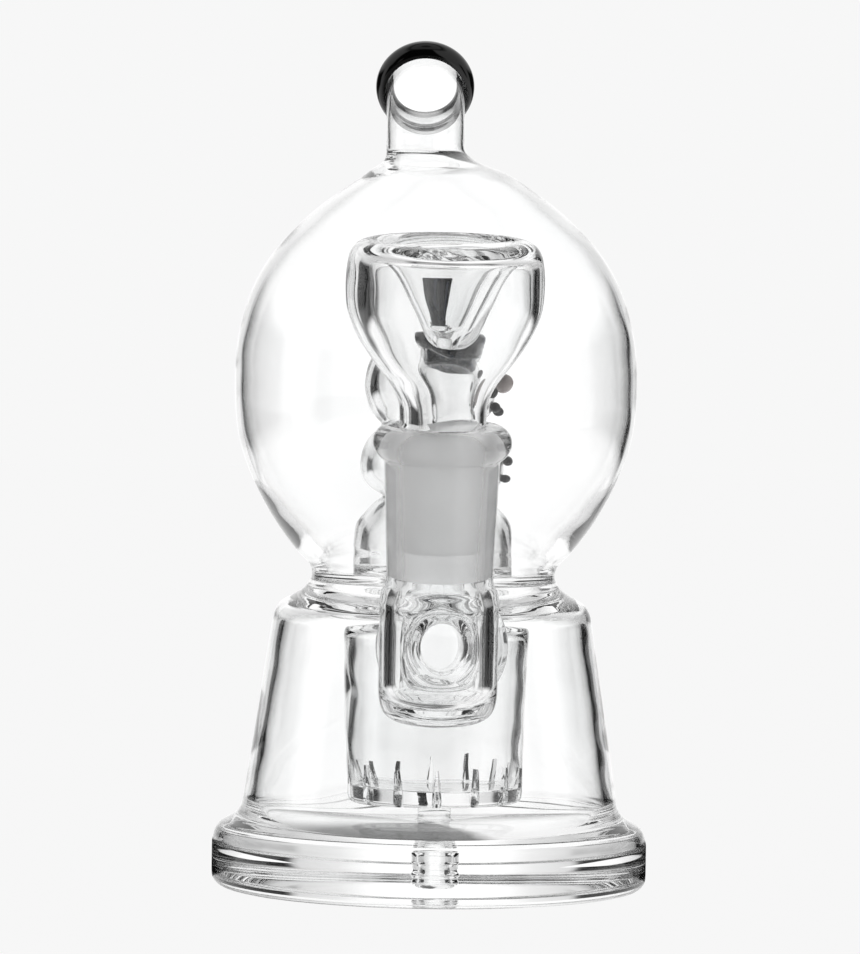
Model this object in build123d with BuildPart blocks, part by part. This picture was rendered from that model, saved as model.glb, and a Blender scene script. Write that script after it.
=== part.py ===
"""Clear glass water pipe in the shape of a gumball machine.

A thick round foot carries a conical water chamber (the "can"), a narrow waist and an
egg-shaped globe with a glass snowman inside. A short bent neck with a black lip leaves
the top of the globe. In front, a ground-glass socket on a closed tube feeds the inlet
arm, which runs through the can wall into a slotted percolator on a post. A ground-glass
bowl stands in the socket and lifts out along the socket's axis.

Frame: millimetres, +Z up, origin at the centre of the foot's underside. The socket is
on the -Y side, the mouthpiece points to +Y.
"""
import os
from math import cos, radians, sin, tan

from build123d import *

os.makedirs("parts", exist_ok=True)

# ----------------------------------------------------------------------------
# Driving dimensions (mm)
# ----------------------------------------------------------------------------
GAP = 0.02                  # weld seam left between curved touching faces of one body

# foot
FOOT_R = 38.8
FOOT_T = 9.0
FOOT_BOTTOM_ROUND = 2.4
FOOT_TOP_ROUND = 0.7

# levels where the blown envelope is divided into its pieces
Z_FLANGE_TOP = 15.0
Z_CAN_TOP = 47.6
Z_SHOULDER_TOP = 53.2
Z_WAIST_TOP = 57.6
Z_GLOBE_TOP = 126.2
Z_NECK_TOP = 132.0
GLOBE_BANDS = (Z_WAIST_TOP, 76.0, 103.0, Z_GLOBE_TOP)

# can (truncated cone)
CAN_R_LOW = 33.45           # outer radius at Z_FLANGE_TOP
CAN_R_HIGH = 28.45          # outer radius at Z_CAN_TOP
CAN_WALL = 2.05

# waist and globe
WAIST_BORE_R = 19.2
GLOBE_WALL = 1.45
FLOOR_Z0, FLOOR_Z1 = 53.8, 56.0
FLOOR_HOLE_R = 7.0

# neck and mouthpiece
TUBE_R = 6.8
TUBE_BORE_R = 5.4
BEND_START = 133.0
BEND_R = 9.0
BEND_TURN = 58.0            # degrees turned back from vertical
MOUTH_STRAIGHT = 5.5
NECK_X = -2.5               # the neck stands this far off the globe's axis
LIP_R = 8.9
LIP_BACK = 3.2              # how far the lip reaches back over the tube
LIP_FRONT = 2.0             # how far it stands past the tube's end
LIP_RING = LIP_R - TUBE_R - GAP     # rounding at its back edge

# inlet joint: socket, closed tube, arm
JOINT_TILT = 8.0            # degrees, top leaning away from the globe
ARM_Z = 44.0
JOINT_Y = -44.0             # origin of the joint axis, just above the arm axis
JOINT_Z = 44.6
SOCKET_TOP = 38.6           # along the joint axis, from the arm axis
SOCKET_BOTTOM = 11.8
LIP_BEAD_C = 35.8
LIP_BEAD_R = 11.75
BORE_TOP_R = 7.33           # ground bore at SOCKET_TOP, taper 1:10 on diameter
GROUND_FIT = 0.05           # radial clearance of the ground cone in its bore
TAPER = 0.05                # radius per length
TUBE_LOW_R = 10.0
TUBE_LOW_BORE = 7.6
TUBE_LOW_BOTTOM = -12.0
TUBE_LOW_FLOOR = -8.8
ARM_R = 6.3
ARM_BORE = 3.5

# percolator
PERC_R_LOW = 15.6
PERC_R_HIGH = 16.5
PERC_WALL = 1.85
PERC_Z0 = 15.0
PERC_SLIT_TOP = 22.5
PERC_RING_TOP = 24.0
PERC_Z1 = 52.0
PERC_BASE_T = 2.8
SLIT_COUNT = 14
SLIT_W = 1.3
POST_R = 3.0

# figure inside the globe
HEAD_X, BODY_X, BASE_X = -1.0, -0.5, 0.0
FIG_BASE_R = 14.2
FIG_Z_BODY = 68.3
FIG_Z_HEAD = 82.4
BRIM_R = 9.8
BRIM_Z0, BRIM_Z1 = 97.6, 99.3
BAND_Z1 = 101.9
CROWN_R_LOW = 6.3
CROWN_R_TOP = 7.1
CROWN_Z1 = 108.6

# bowl (along the joint axis, from the arm axis)
MALE_BOTTOM = 17.6
MALE_BORE = 4.3
NECK_TOP = 44.0
BULB_TOP = 66.0

# ----------------------------------------------------------------------------
# Frames
# ----------------------------------------------------------------------------
T = radians(JOINT_TILT)
JOINT_ORIGIN = (0, JOINT_Y, JOINT_Z)
JOINT_DIR = (0, -sin(T), cos(T))
JOINT_PLANE = Plane(origin=JOINT_ORIGIN, x_dir=(1, 0, 0), z_dir=(0, -cos(T), -sin(T)))
JOINT_AXIS = Axis(JOINT_ORIGIN, JOINT_DIR)

B = radians(BEND_TURN)
MOUTH_DIR = (0, sin(B), cos(B))
BEND_END = (NECK_X, BEND_R * (1 - cos(B)), BEND_START + BEND_R * sin(B))
TUBE_END = (NECK_X, BEND_END[1] + MOUTH_STRAIGHT * sin(B), BEND_END[2] + MOUTH_STRAIGHT * cos(B))
MOUTH_PLANE = Plane(origin=TUBE_END, x_dir=(1, 0, 0), z_dir=(0, -cos(B), sin(B)))
MOUTH_AXIS = Axis(TUBE_END, MOUTH_DIR)

# ----------------------------------------------------------------------------
# Profiles of the blown envelope, as (radius, height)
# ----------------------------------------------------------------------------
FLANGE_OUT = [(38.5, 9.0), (38.2, 10.3), (37.0, 11.4), (35.4, 12.2), (34.1, 13.3), (CAN_R_LOW, 15.0)]
SHOULDER_OUT = [(CAN_R_HIGH, 47.6), (28.15, 49.1), (27.1, 50.7), (24.9, 52.0), (22.9, 53.3),
                (21.9, 54.8), (21.7, 56.2)]
GLOBE_OUT = [(21.7, 56.2), (24.0, 59.1), (28.6, 65.5), (32.6, 73.0), (35.1, 80.5), (35.9, 89.5),
             (35.2, 98.5), (32.7, 107.0), (28.3, 114.2), (22.5, 120.1), (16.3, 124.8),
             (11.9, 127.7), (8.5, 129.4), (7.05, 131.0), (TUBE_R, 132.0)]
SHOULDER_IN = [(CAN_R_HIGH - CAN_WALL, 47.6), (25.6, 48.9), (23.9, 49.8), (21.8, 50.7), (20.0, 51.75),
               (WAIST_BORE_R, 53.2)]
GLOBE_IN = [(WAIST_BORE_R, 57.0), (19.7, 58.2), (21.0, 59.9), (23.3, 62.4), (27.3, 67.2), (31.2, 73.6), (33.65, 80.9),
            (34.45, 89.5), (33.8, 98.1), (31.3, 106.4), (27.1, 113.2), (21.3, 118.9), (15.1, 122.9),
            (10.2, 125.6), (6.9, 127.3), (4.95, 129.2), (4.4, 131.2), (4.4, 132.0)]

NECK_OUT = [(126.2, 14.389), (127.0, 13.17), (127.7, 11.95), (128.5, 10.12), (129.4, 8.55), (130.2, 7.64),
            (131.0, 7.06), (132.0, TUBE_R)]
NECK_IN = [(126.2, 8.938), (127.0, 7.84), (127.7, 7.13), (128.5, 6.52), (129.4, 6.0), (130.2, 5.68),
           (131.0, 5.47), (132.0, TUBE_BORE_R)]


def neck_shift(z):
    """How far the neck's centre stands off the globe's axis in x at height z."""
    t = (z - Z_GLOBE_TOP) / (Z_NECK_TOP - Z_GLOBE_TOP)
    return NECK_X * t * t * (3 - 2 * t)


# The whole blown envelope, from foot flange to neck, before it is divided into its pieces
with BuildSketch(Plane.XZ) as envelope_profile:
    with BuildLine():
        Spline(*FLANGE_OUT, tangents=[(0, 1), (-0.153, 1)])
        Line(FLANGE_OUT[-1], SHOULDER_OUT[0])
        Spline(*SHOULDER_OUT, tangents=[(-0.153, 1), (0, 1)])
        Spline(*GLOBE_OUT, tangents=[(0.15, 1), (0, 1)])
        Line(GLOBE_OUT[-1], GLOBE_IN[-1])
        Line(GLOBE_IN[-1], GLOBE_IN[-2])
        Spline(*reversed(GLOBE_IN[:-1]))
        Line(GLOBE_IN[0], SHOULDER_IN[-1])
        Spline(*reversed(SHOULDER_IN), tangents=[(0, -1), (0.153, -1)])
        Polyline(SHOULDER_IN[0], (CAN_R_LOW - CAN_WALL, 15.0), (CAN_R_LOW - CAN_WALL, 9.0), FLANGE_OUT[0])
    make_face()

with BuildPart() as blown_envelope:
    add(envelope_profile.sketch)
    revolve(axis=Axis.Z)

with BuildPart() as envelope_gore:      # an eighth of it, for the globe
    add(envelope_profile.sketch)
    revolve(axis=Axis.Z, revolution_arc=45)

# Arm axis: runs along Y at height ARM_Z
ARM_PLANE = Plane(origin=(0, 0, ARM_Z), x_dir=(1, 0, 0), z_dir=(0, 1, 0))

# ----------------------------------------------------------------------------
# Solids that only cut clearances
# ----------------------------------------------------------------------------
with BuildPart() as tube_envelope:      # outside of the closed lower tube, with its seam
    with BuildSketch(JOINT_PLANE):
        with Locations((0, 0)):
            Rectangle(TUBE_LOW_R + GAP, 40, align=(Align.MIN, Align.CENTER))
    revolve(axis=JOINT_AXIS)

with BuildPart() as can_envelope:       # outside of the can and shoulder, with its seam
    with BuildSketch(Plane.XZ):
        with BuildLine():
            Polyline((21.8, 56.0), (0, 56.0), (0, 15.0), (CAN_R_LOW + GAP, 15.0), (CAN_R_HIGH + GAP, 47.6))
            Spline(*[(r + GAP, z + GAP) for r, z in SHOULDER_OUT[:-1]], (21.8, 56.0),
                   tangents=[(-0.153, 1), (0, 1)])
            Line((CAN_R_HIGH + GAP, 47.6), (CAN_R_HIGH + GAP, 47.6 + GAP))
        make_face()
    revolve(axis=Axis.Z)

with BuildPart() as perc_envelope:      # outside of the percolator dome, with its seam
    with BuildSketch(Plane.XZ):
        with BuildLine():
            Polyline((0, PERC_Z0), (PERC_R_LOW + GAP, PERC_Z0), (PERC_R_HIGH + GAP, 43.0),
                     (PERC_R_HIGH + 0.15, 43.0), (PERC_R_HIGH + 0.15, 60.0), (0, 60.0), (0, PERC_Z0))
        make_face()
    revolve(axis=Axis.Z)

with BuildPart() as head_envelope:      # outside of the figure's head, with its seam
    with BuildSketch(Plane.XZ):
        with BuildLine():
            Spline((8.6 + GAP, 82.4), (10.6 + GAP, 84.4), (11.5 + GAP, 87.2), (11.6 + GAP, 90.0),
                   (10.9 + GAP, 93.4), (9.0 + GAP, 96.6), (6.4 + GAP, 98.6), (3.4 + GAP, 99.65), (0, 100.0 + GAP))
            Polyline((0, 100.0 + GAP), (0, 82.4), (8.6 + GAP, 82.4))
        make_face()
    revolve(axis=Axis.Z)
HEAD_CUT = Pos(HEAD_X, 0, 0) * head_envelope.part

with BuildPart() as body_envelope:      # outside of the figure's body, with its seam
    with BuildSketch(Plane.XZ):
        with BuildLine():
            Spline((8.8 + GAP, 68.3), (11.3 + GAP, 70.2), (12.5 + GAP, 72.6), (12.8 + GAP, 75.3),
                   (12.3 + GAP, 78.1), (10.9 + GAP, 80.5), (8.6 + GAP, 82.4))
            Polyline((8.6 + GAP, 82.4), (0, 82.4), (0, 68.3), (8.8 + GAP, 68.3))
        make_face()
    revolve(axis=Axis.Z)
BODY_CUT = Pos(BODY_X, 0, 0) * body_envelope.part

# ----------------------------------------------------------------------------
# Foot
# ----------------------------------------------------------------------------
with BuildPart() as foot_plate:
    with BuildSketch(Plane.XZ):
        with BuildLine():
            Line((0, 0), (FOOT_R - FOOT_BOTTOM_ROUND, 0))
            RadiusArc((FOOT_R - FOOT_BOTTOM_ROUND, 0), (FOOT_R, FOOT_BOTTOM_ROUND), -FOOT_BOTTOM_ROUND)
            Line((FOOT_R, FOOT_BOTTOM_ROUND), (FOOT_R, FOOT_T - FOOT_TOP_ROUND))
            RadiusArc((FOOT_R, FOOT_T - FOOT_TOP_ROUND), (FOOT_R - FOOT_TOP_ROUND, FOOT_T), -FOOT_TOP_ROUND)
            Line((FOOT_R - FOOT_TOP_ROUND, FOOT_T), (0, FOOT_T))
            Line((0, FOOT_T), (0, 0))
        make_face()
    revolve(axis=Axis.Z)

with BuildPart() as foot_flange:
    with BuildSketch(Plane.XZ):
        with BuildLine():
            Spline((38.1, 9.0), *FLANGE_OUT[1:], tangents=[(0.1, 1), (-0.153, 1)])
            Polyline(FLANGE_OUT[-1], (CAN_R_LOW - CAN_WALL, 15.0), (CAN_R_LOW - CAN_WALL, 9.0), (38.1, 9.0))
        make_face()
    revolve(axis=Axis.Z)

# ----------------------------------------------------------------------------
# Can, waist, globe and neck: slices of one blown envelope
# ----------------------------------------------------------------------------
with BuildPart() as can_wall:
    add(blown_envelope.part)
    split(bisect_by=Plane.XY.offset(Z_FLANGE_TOP), keep=Keep.TOP)
    split(bisect_by=Plane.XY.offset(Z_CAN_TOP), keep=Keep.BOTTOM)
    with BuildSketch(ARM_PLANE.offset(-40)):        # hole for the inlet arm
        Circle(ARM_R + GAP)
    extrude(amount=30, mode=Mode.SUBTRACT)

with BuildPart() as can_shoulder:
    add(blown_envelope.part)
    split(bisect_by=Plane.XY.offset(Z_CAN_TOP), keep=Keep.TOP)
    split(bisect_by=Plane.XY.offset(Z_SHOULDER_TOP), keep=Keep.BOTTOM)
    with BuildSketch(ARM_PLANE.offset(-40)):        # the arm's top edge passes the shoulder too
        Circle(ARM_R + GAP)
    extrude(amount=30, mode=Mode.SUBTRACT)

with BuildPart() as waist_ring:
    add(blown_envelope.part)
    split(bisect_by=Plane.XY.offset(Z_WAIST_TOP), keep=Keep.BOTTOM)
    split(bisect_by=Plane.XY.offset(Z_SHOULDER_TOP), keep=Keep.TOP)

# The globe is thin and round all over, so its wall is laid out as eight gores in three bands
globe_staves = []
for z_low, z_high in zip(GLOBE_BANDS, GLOBE_BANDS[1:]):
    with BuildPart() as stave:
        add(envelope_gore.part)
        split(bisect_by=Plane.XY.offset(z_low), keep=Keep.TOP)
        split(bisect_by=Plane.XY.offset(z_high), keep=Keep.BOTTOM)
    globe_staves += [Rot(0, 0, 45 * k) * stave.part.solid() for k in range(8)]
globe = Compound(children=globe_staves)

# The neck stands a little to -X of the globe, so its ring is lofted between off-centre circles
with BuildPart() as neck_ring:
    for zz, ro in NECK_OUT:
        with BuildSketch(Plane.XY.offset(zz)):
            with Locations((neck_shift(zz), 0)):
                Circle(ro)
    loft()
    for zz, ri in NECK_IN:
        with BuildSketch(Plane.XY.offset(zz)):
            with Locations((neck_shift(zz), 0)):
                Circle(ri)
    loft(mode=Mode.SUBTRACT)

with BuildPart() as globe_floor:
    with BuildSketch(Plane.XY.offset(FLOOR_Z0)):
        Circle(WAIST_BORE_R - GAP)
        Circle(FLOOR_HOLE_R, mode=Mode.SUBTRACT)
    extrude(amount=FLOOR_Z1 - FLOOR_Z0)

# ----------------------------------------------------------------------------
# Mouthpiece
# ----------------------------------------------------------------------------
with BuildPart() as mouthpiece_tube:
    with BuildLine() as mouth_route:
        Line((NECK_X, 0, Z_NECK_TOP), (NECK_X, 0, BEND_START))
        ThreePointArc((NECK_X, 0, BEND_START),
                      (NECK_X, BEND_R * (1 - cos(B / 2)), BEND_START + BEND_R * sin(B / 2)), BEND_END)
        Line(BEND_END, TUBE_END)
    with BuildSketch(Plane(origin=(NECK_X, 0, Z_NECK_TOP))):
        Circle(TUBE_R)
        Circle(TUBE_BORE_R, mode=Mode.SUBTRACT)
    sweep(path=mouth_route.line)

with BuildPart() as mouth_lip:
    with BuildSketch(MOUTH_PLANE):
        with BuildLine():
            Line((TUBE_BORE_R, 0), (TUBE_BORE_R, LIP_FRONT - 1.0))
            ThreePointArc((TUBE_BORE_R, LIP_FRONT - 1.0), (TUBE_BORE_R + 0.293, LIP_FRONT - 0.293),
                          (TUBE_BORE_R + 1.0, LIP_FRONT))
            Line((TUBE_BORE_R + 1.0, LIP_FRONT), (LIP_R - 2.3, LIP_FRONT))
            ThreePointArc((LIP_R - 2.3, LIP_FRONT), (LIP_R - 0.674, LIP_FRONT - 0.674), (LIP_R, LIP_FRONT - 2.3))
            Line((LIP_R, LIP_FRONT - 2.3), (LIP_R, -LIP_BACK + LIP_RING))
            ThreePointArc((LIP_R, -LIP_BACK + LIP_RING), (LIP_R - 0.293 * LIP_RING, -LIP_BACK + 0.293 * LIP_RING),
                          (LIP_R - LIP_RING, -LIP_BACK))
            Polyline((LIP_R - LIP_RING, -LIP_BACK), (TUBE_R + GAP, 0), (TUBE_BORE_R, 0))
        make_face()
    revolve(axis=MOUTH_AXIS)

# ----------------------------------------------------------------------------
# Inlet joint
# ----------------------------------------------------------------------------
with BuildPart() as joint_lip:
    with BuildSketch(JOINT_PLANE):
        with BuildLine():
            Line((9.75, 33.0), (BORE_TOP_R - TAPER * 5.6, 33.0))
            Line((BORE_TOP_R - TAPER * 5.6, 33.0), (BORE_TOP_R, SOCKET_TOP))
            Line((BORE_TOP_R, SOCKET_TOP), (9.0, SOCKET_TOP))
            Spline((9.0, SOCKET_TOP), (10.3, 38.35), (11.3, 37.3), (LIP_BEAD_R, LIP_BEAD_C), (11.4, 34.5),
                   (10.65, 33.45), (9.75, 33.0))
        make_face()
    revolve(axis=JOINT_AXIS)

with BuildPart() as joint_socket:
    with BuildSketch(JOINT_PLANE):
        with BuildLine():
            Polyline((BORE_TOP_R - TAPER * 5.6, 33.0), (9.75, 33.0), (9.0, 13.4), (9.0, SOCKET_BOTTOM),
                     (BORE_TOP_R - TAPER * (SOCKET_TOP - 13.6), SOCKET_BOTTOM),
                     (BORE_TOP_R - TAPER * (SOCKET_TOP - 13.6), 13.6), (BORE_TOP_R - TAPER * 5.6, 33.0))
        make_face()
    revolve(axis=JOINT_AXIS)

with BuildPart() as joint_tube:
    with BuildSketch(JOINT_PLANE):
        with BuildLine():
            Line((6.08, SOCKET_BOTTOM), (9.0, SOCKET_BOTTOM))
            Spline((9.0, SOCKET_BOTTOM), (9.5, 10.9), (TUBE_LOW_R, 9.3), tangents=[(0.2, -1), (0, -1)])
            Line((TUBE_LOW_R, 9.3), (TUBE_LOW_R, -6.5))
            Spline((TUBE_LOW_R, -6.5), (9.75, -8.2), (8.9, -9.8), (7.2, -11.0), (4.0, -11.8), (0, TUBE_LOW_BOTTOM))
            Line((0, TUBE_LOW_BOTTOM), (0, TUBE_LOW_FLOOR))
            Spline((0, TUBE_LOW_FLOOR), (3.0, -8.65), (5.4, -7.9), (6.9, -6.6), (TUBE_LOW_BORE, -4.6))
            Line((TUBE_LOW_BORE, -4.6), (TUBE_LOW_BORE, 8.4))
            Spline((TUBE_LOW_BORE, 8.4), (7.0, 10.2), (6.08, SOCKET_BOTTOM), tangents=[(0, 1), (-0.4, 1)])
        make_face()
    revolve(axis=JOINT_AXIS)
    with BuildSketch(ARM_PLANE.offset(JOINT_Y)):    # side port into the arm
        Circle(ARM_BORE)
    extrude(amount=15, mode=Mode.SUBTRACT)

with BuildPart() as inlet_arm:
    with BuildSketch(ARM_PLANE.offset(JOINT_Y)):
        Circle(ARM_R)
        Circle(ARM_BORE, mode=Mode.SUBTRACT)
    extrude(amount=-JOINT_Y - 12.0)
    add(tube_envelope.part, mode=Mode.SUBTRACT)
    add(perc_envelope.part, mode=Mode.SUBTRACT)

with BuildPart() as arm_weld_ring:      # flared weld where the arm meets the can
    with BuildSketch(Plane(origin=(0, 0, ARM_Z), x_dir=(1, 0, 0), z_dir=(0, 0, -1))):
        with BuildLine():
            # local y runs towards -Y
            Spline((ARM_R + GAP, 33.1), (7.1, 31.4), (8.6, 30.2), (11.4, 29.5), tangents=[(0.02, -1), (1, -0.05)])
            Polyline((11.4, 29.5), (11.4, 24.5), (ARM_R + GAP, 24.5), (ARM_R + GAP, 33.1))
        make_face()
    revolve(axis=Axis((0, 0, ARM_Z), (0, 1, 0)))
    add(can_envelope.part, mode=Mode.SUBTRACT)
    split(bisect_by=Plane.XY.offset(ARM_Z + ARM_R + 0.9), keep=Keep.BOTTOM)
    split(bisect_by=Plane.XZ.offset(27.0), keep=Keep.TOP)

# ----------------------------------------------------------------------------
# Percolator
# ----------------------------------------------------------------------------
PERC_R_RING = PERC_R_LOW + (PERC_R_HIGH - PERC_R_LOW) * (PERC_RING_TOP - PERC_Z0) / (43.0 - PERC_Z0)

with BuildPart() as perc_dome:
    with BuildSketch(Plane.XZ):
        with BuildLine():
            Line((PERC_R_RING, PERC_RING_TOP), (PERC_R_HIGH, 43.0))
            Spline((PERC_R_HIGH, 43.0), (PERC_R_HIGH + 0.05, 45.9), (16.0, 47.7), (14.3, 48.9), (12.0, 49.8),
                   (9.0, 50.8), (5.0, 51.7), (0, PERC_Z1))
            Line((0, PERC_Z1), (0, PERC_Z1 - 2.1))
            Spline((0, PERC_Z1 - 2.1), (4.0, 49.6), (8.0, 48.9), (11.2, 47.9), (13.4, 46.9), (14.45, 45.4),
                   (PERC_R_HIGH - PERC_WALL, 43.0))
            Line((PERC_R_HIGH - PERC_WALL, 43.0), (PERC_R_RING - PERC_WALL, PERC_RING_TOP))
            Line((PERC_R_RING - PERC_WALL, PERC_RING_TOP), (PERC_R_RING, PERC_RING_TOP))
        make_face()
    revolve(axis=Axis.Z)
    with BuildSketch(ARM_PLANE.offset(-20)):        # inlet port from the arm
        Circle(ARM_BORE)
    extrude(amount=8, mode=Mode.SUBTRACT)

with BuildPart() as perc_slit_ring:
    with BuildSketch(Plane.XZ):
        with BuildLine():
            Polyline((PERC_R_LOW - PERC_WALL, PERC_Z0), (PERC_R_LOW - 1.2, PERC_Z0),
                     (PERC_R_LOW - 0.3, PERC_Z0 + 0.45), (PERC_R_LOW, PERC_Z0 + 1.5),
                     (PERC_R_RING, PERC_RING_TOP), (PERC_R_RING - PERC_WALL, PERC_RING_TOP),
                     (PERC_R_LOW - PERC_WALL, PERC_Z0))
        make_face()
    revolve(axis=Axis.Z)
    # tapered slits, wide at the open end, pointed at the top
    with PolarLocations(0, SLIT_COUNT, start_angle=-90):
        with BuildSketch(Plane.YZ.offset(10)) as slit:
            Polygon((-SLIT_W / 2, PERC_Z0 - 1), (SLIT_W / 2, PERC_Z0 - 1), (SLIT_W / 2, PERC_Z0 + 3.5),
                    (0.15, PERC_SLIT_TOP), (-0.15, PERC_SLIT_TOP), (-SLIT_W / 2, PERC_Z0 + 3.5),
                    align=None)
        extrude(amount=10, mode=Mode.SUBTRACT)

with BuildPart() as perc_base:
    with BuildSketch(Plane.XY.offset(PERC_Z0)):
        Circle(PERC_R_LOW - PERC_WALL - GAP)
    extrude(amount=PERC_BASE_T)

with BuildPart() as perc_post:
    with BuildSketch(Plane.XY.offset(FOOT_T)):
        Circle(POST_R + 0.5)
    with BuildSketch(Plane.XY.offset(FOOT_T + 1.2)):
        Circle(POST_R)
    loft()
    with BuildSketch(Plane.XY.offset(FOOT_T + 1.2)):
        Circle(POST_R)
    extrude(amount=PERC_Z0 - FOOT_T - 1.2)

# ----------------------------------------------------------------------------
# Figure in the globe: three hollow bulges, hat, beads
# ----------------------------------------------------------------------------
with BuildPart() as figure_base:
    with BuildSketch(Plane.XZ):
        with BuildLine():
            Line((11.3, 56.0), (FIG_BASE_R, 56.0))
            Line((FIG_BASE_R, 56.0), (FIG_BASE_R, 61.0))
            Spline((FIG_BASE_R, 61.0), (14.0, 62.8), (13.1, 64.8), (11.4, 66.7), (8.8, FIG_Z_BODY))
            Line((8.8, FIG_Z_BODY), (6.2, FIG_Z_BODY))
            Spline((6.2, FIG_Z_BODY), (7.6, 66.4), (9.3, 64.9), (10.7, 63.0), (11.3, 60.6))
            Line((11.3, 60.6), (11.3, 56.0))
        make_face()
    revolve(axis=Axis.Z)
    with BuildSketch(Plane.XZ.offset(-20)):         # two air holes, front and back
        with Locations((0, 60.0)):
            Circle(2.2)
    extrude(amount=40, mode=Mode.SUBTRACT)

with BuildPart() as body_shell:
    with BuildSketch(Plane.XZ):
        with BuildLine():
            Spline((8.8, 68.3), (11.3, 70.2), (12.5, 72.6), (12.8, 75.3), (12.3, 78.1), (10.9, 80.5), (8.6, 82.4))
            Line((8.6, 82.4), (6.3, 82.4))
            Spline((6.3, 82.4), (8.7, 79.6), (10.1, 77.3), (10.5, 75.3), (10.2, 73.2), (9.1, 71.3), (6.4, 68.3))
            Line((6.4, 68.3), (8.8, 68.3))
        make_face()
    revolve(axis=Axis.Z)
figure_body = Pos(BODY_X, 0, 0) * body_shell.part

with BuildPart() as head_shell:
    with BuildSketch(Plane.XZ):
        with BuildLine():
            Spline((8.6, 82.4), (10.6, 84.4), (11.5, 87.2), (11.6, 90.0), (10.9, 93.4), (9.0, 96.6), (6.4, 98.6),
                   (3.4, 99.65), (0, 100.0))
            Line((0, 100.0), (0, 97.8))
            Spline((0, 97.8), (2.9, 97.5), (5.3, 96.6), (7.4, 94.9), (8.9, 92.4), (9.4, 90.0), (9.3, 87.8),
                   (8.4, 85.2), (6.3, 82.4))
            Line((6.3, 82.4), (8.6, 82.4))
        make_face()
    revolve(axis=Axis.Z)
figure_head = Pos(HEAD_X, 0, 0) * head_shell.part

HAT = (HEAD_X, 0)
with BuildPart() as hat_brim:
    with BuildSketch(Plane.XY.offset(BRIM_Z0)):
        with Locations(HAT):
            Circle(BRIM_R)
    extrude(amount=BRIM_Z1 - BRIM_Z0)
    fillet(hat_brim.edges().filter_by(GeomType.CIRCLE), 0.6)
    add(HEAD_CUT, mode=Mode.SUBTRACT)

with BuildPart() as hat_band:
    with BuildSketch(Plane.XY.offset(BRIM_Z1)):
        with Locations(HAT):
            Circle(CROWN_R_LOW + 0.45)
            Circle(CROWN_R_LOW - 0.2, mode=Mode.SUBTRACT)
    extrude(amount=BAND_Z1 - BRIM_Z1)
    add(HEAD_CUT, mode=Mode.SUBTRACT)

with BuildPart() as hat_crown:
    with BuildSketch(Plane.XY.offset(BRIM_Z1)):
        with Locations(HAT):
            Circle(CROWN_R_LOW - 0.2 - GAP)
    extrude(amount=BAND_Z1 - BRIM_Z1)
    with BuildSketch(Plane.XY.offset(BAND_Z1)):
        with Locations(HAT):
            Circle(CROWN_R_LOW)
    with BuildSketch(Plane.XY.offset(CROWN_Z1)):
        with Locations(HAT):
            Circle(CROWN_R_TOP)
    loft()
    fillet(hat_crown.edges().group_by(Axis.Z)[-1], 0.7)
    add(HEAD_CUT, mode=Mode.SUBTRACT)

with BuildPart() as nose_bead:
    with Locations((12.0, 0, 90.0)):
        Sphere(1.8)
    add(HEAD_CUT, mode=Mode.SUBTRACT)

EYES = [(8.7, -5.4, 94.2), (8.7, 5.4, 94.2)]
with BuildPart() as eye_beads:
    with Locations(*EYES):
        Sphere(1.1)
    add(HEAD_CUT, mode=Mode.SUBTRACT)

MOUTH = [(9.75, -6.0, 88.4), (10.35, -4.0, 85.8), (11.1, 0, 85.0), (10.35, 4.0, 85.8), (9.75, 6.0, 88.4)]
with BuildPart() as mouth_beads:
    with Locations(*MOUTH):
        Sphere(1.0)
    add(HEAD_CUT, mode=Mode.SUBTRACT)

BUTTONS = [(12.95, 0, 76.4), (12.55, 0, 72.7)]
with BuildPart() as button_beads:
    with Locations(*BUTTONS):
        Sphere(0.95)
    add(BODY_CUT, mode=Mode.SUBTRACT)

# ----------------------------------------------------------------------------
# Bowl: ground cone, neck, bulb, funnel and rim
# ----------------------------------------------------------------------------
def male_r(s):
    """Outer radius of the ground cone at a place along the joint axis."""
    return BORE_TOP_R - GROUND_FIT - TAPER * (SOCKET_TOP - s)


BULB_OUT = [(7.55, NECK_TOP - 1.4), (8.95, 45.7), (11.95, 49.7), (14.6, 53.8), (16.3, 57.9), (16.7, 62.0),
            (16.45, BULB_TOP)]
BULB_IN = [(5.2, NECK_TOP - 1.4), (6.6, 45.9), (9.4, 50.0), (11.9, 54.2), (13.5, 58.0), (13.9, 62.0),
           (13.7, BULB_TOP)]

with BuildPart() as bowl_joint:
    with BuildSketch(JOINT_PLANE):
        with BuildLine():
            Polyline((MALE_BORE, MALE_BOTTOM), (male_r(MALE_BOTTOM), MALE_BOTTOM), (male_r(SOCKET_TOP), SOCKET_TOP),
                     (MALE_BORE + 0.9, SOCKET_TOP), (MALE_BORE, MALE_BOTTOM))
        make_face()
    revolve(axis=JOINT_AXIS)

with BuildPart() as bowl_neck:
    with BuildSketch(JOINT_PLANE):
        with BuildLine():
            Line((MALE_BORE + 0.9, SOCKET_TOP), (male_r(SOCKET_TOP), SOCKET_TOP))
            Line((male_r(SOCKET_TOP), SOCKET_TOP), BULB_OUT[0])
            Line(BULB_OUT[0], BULB_IN[0])
            Line(BULB_IN[0], (MALE_BORE + 0.9, SOCKET_TOP))
        make_face()
    revolve(axis=JOINT_AXIS)

with BuildPart() as bowl_bulb:
    with BuildSketch(JOINT_PLANE):
        with BuildLine():
            Spline(*BULB_OUT, tangents=[(0.15, 1), (-0.1, 1)])
            Line(BULB_OUT[-1], BULB_IN[-1])
            Spline(*reversed(BULB_IN), tangents=[(0.1, -1), (-0.2, -1)])
            Line(BULB_IN[0], BULB_OUT[0])
        make_face()
    revolve(axis=JOINT_AXIS)

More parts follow.
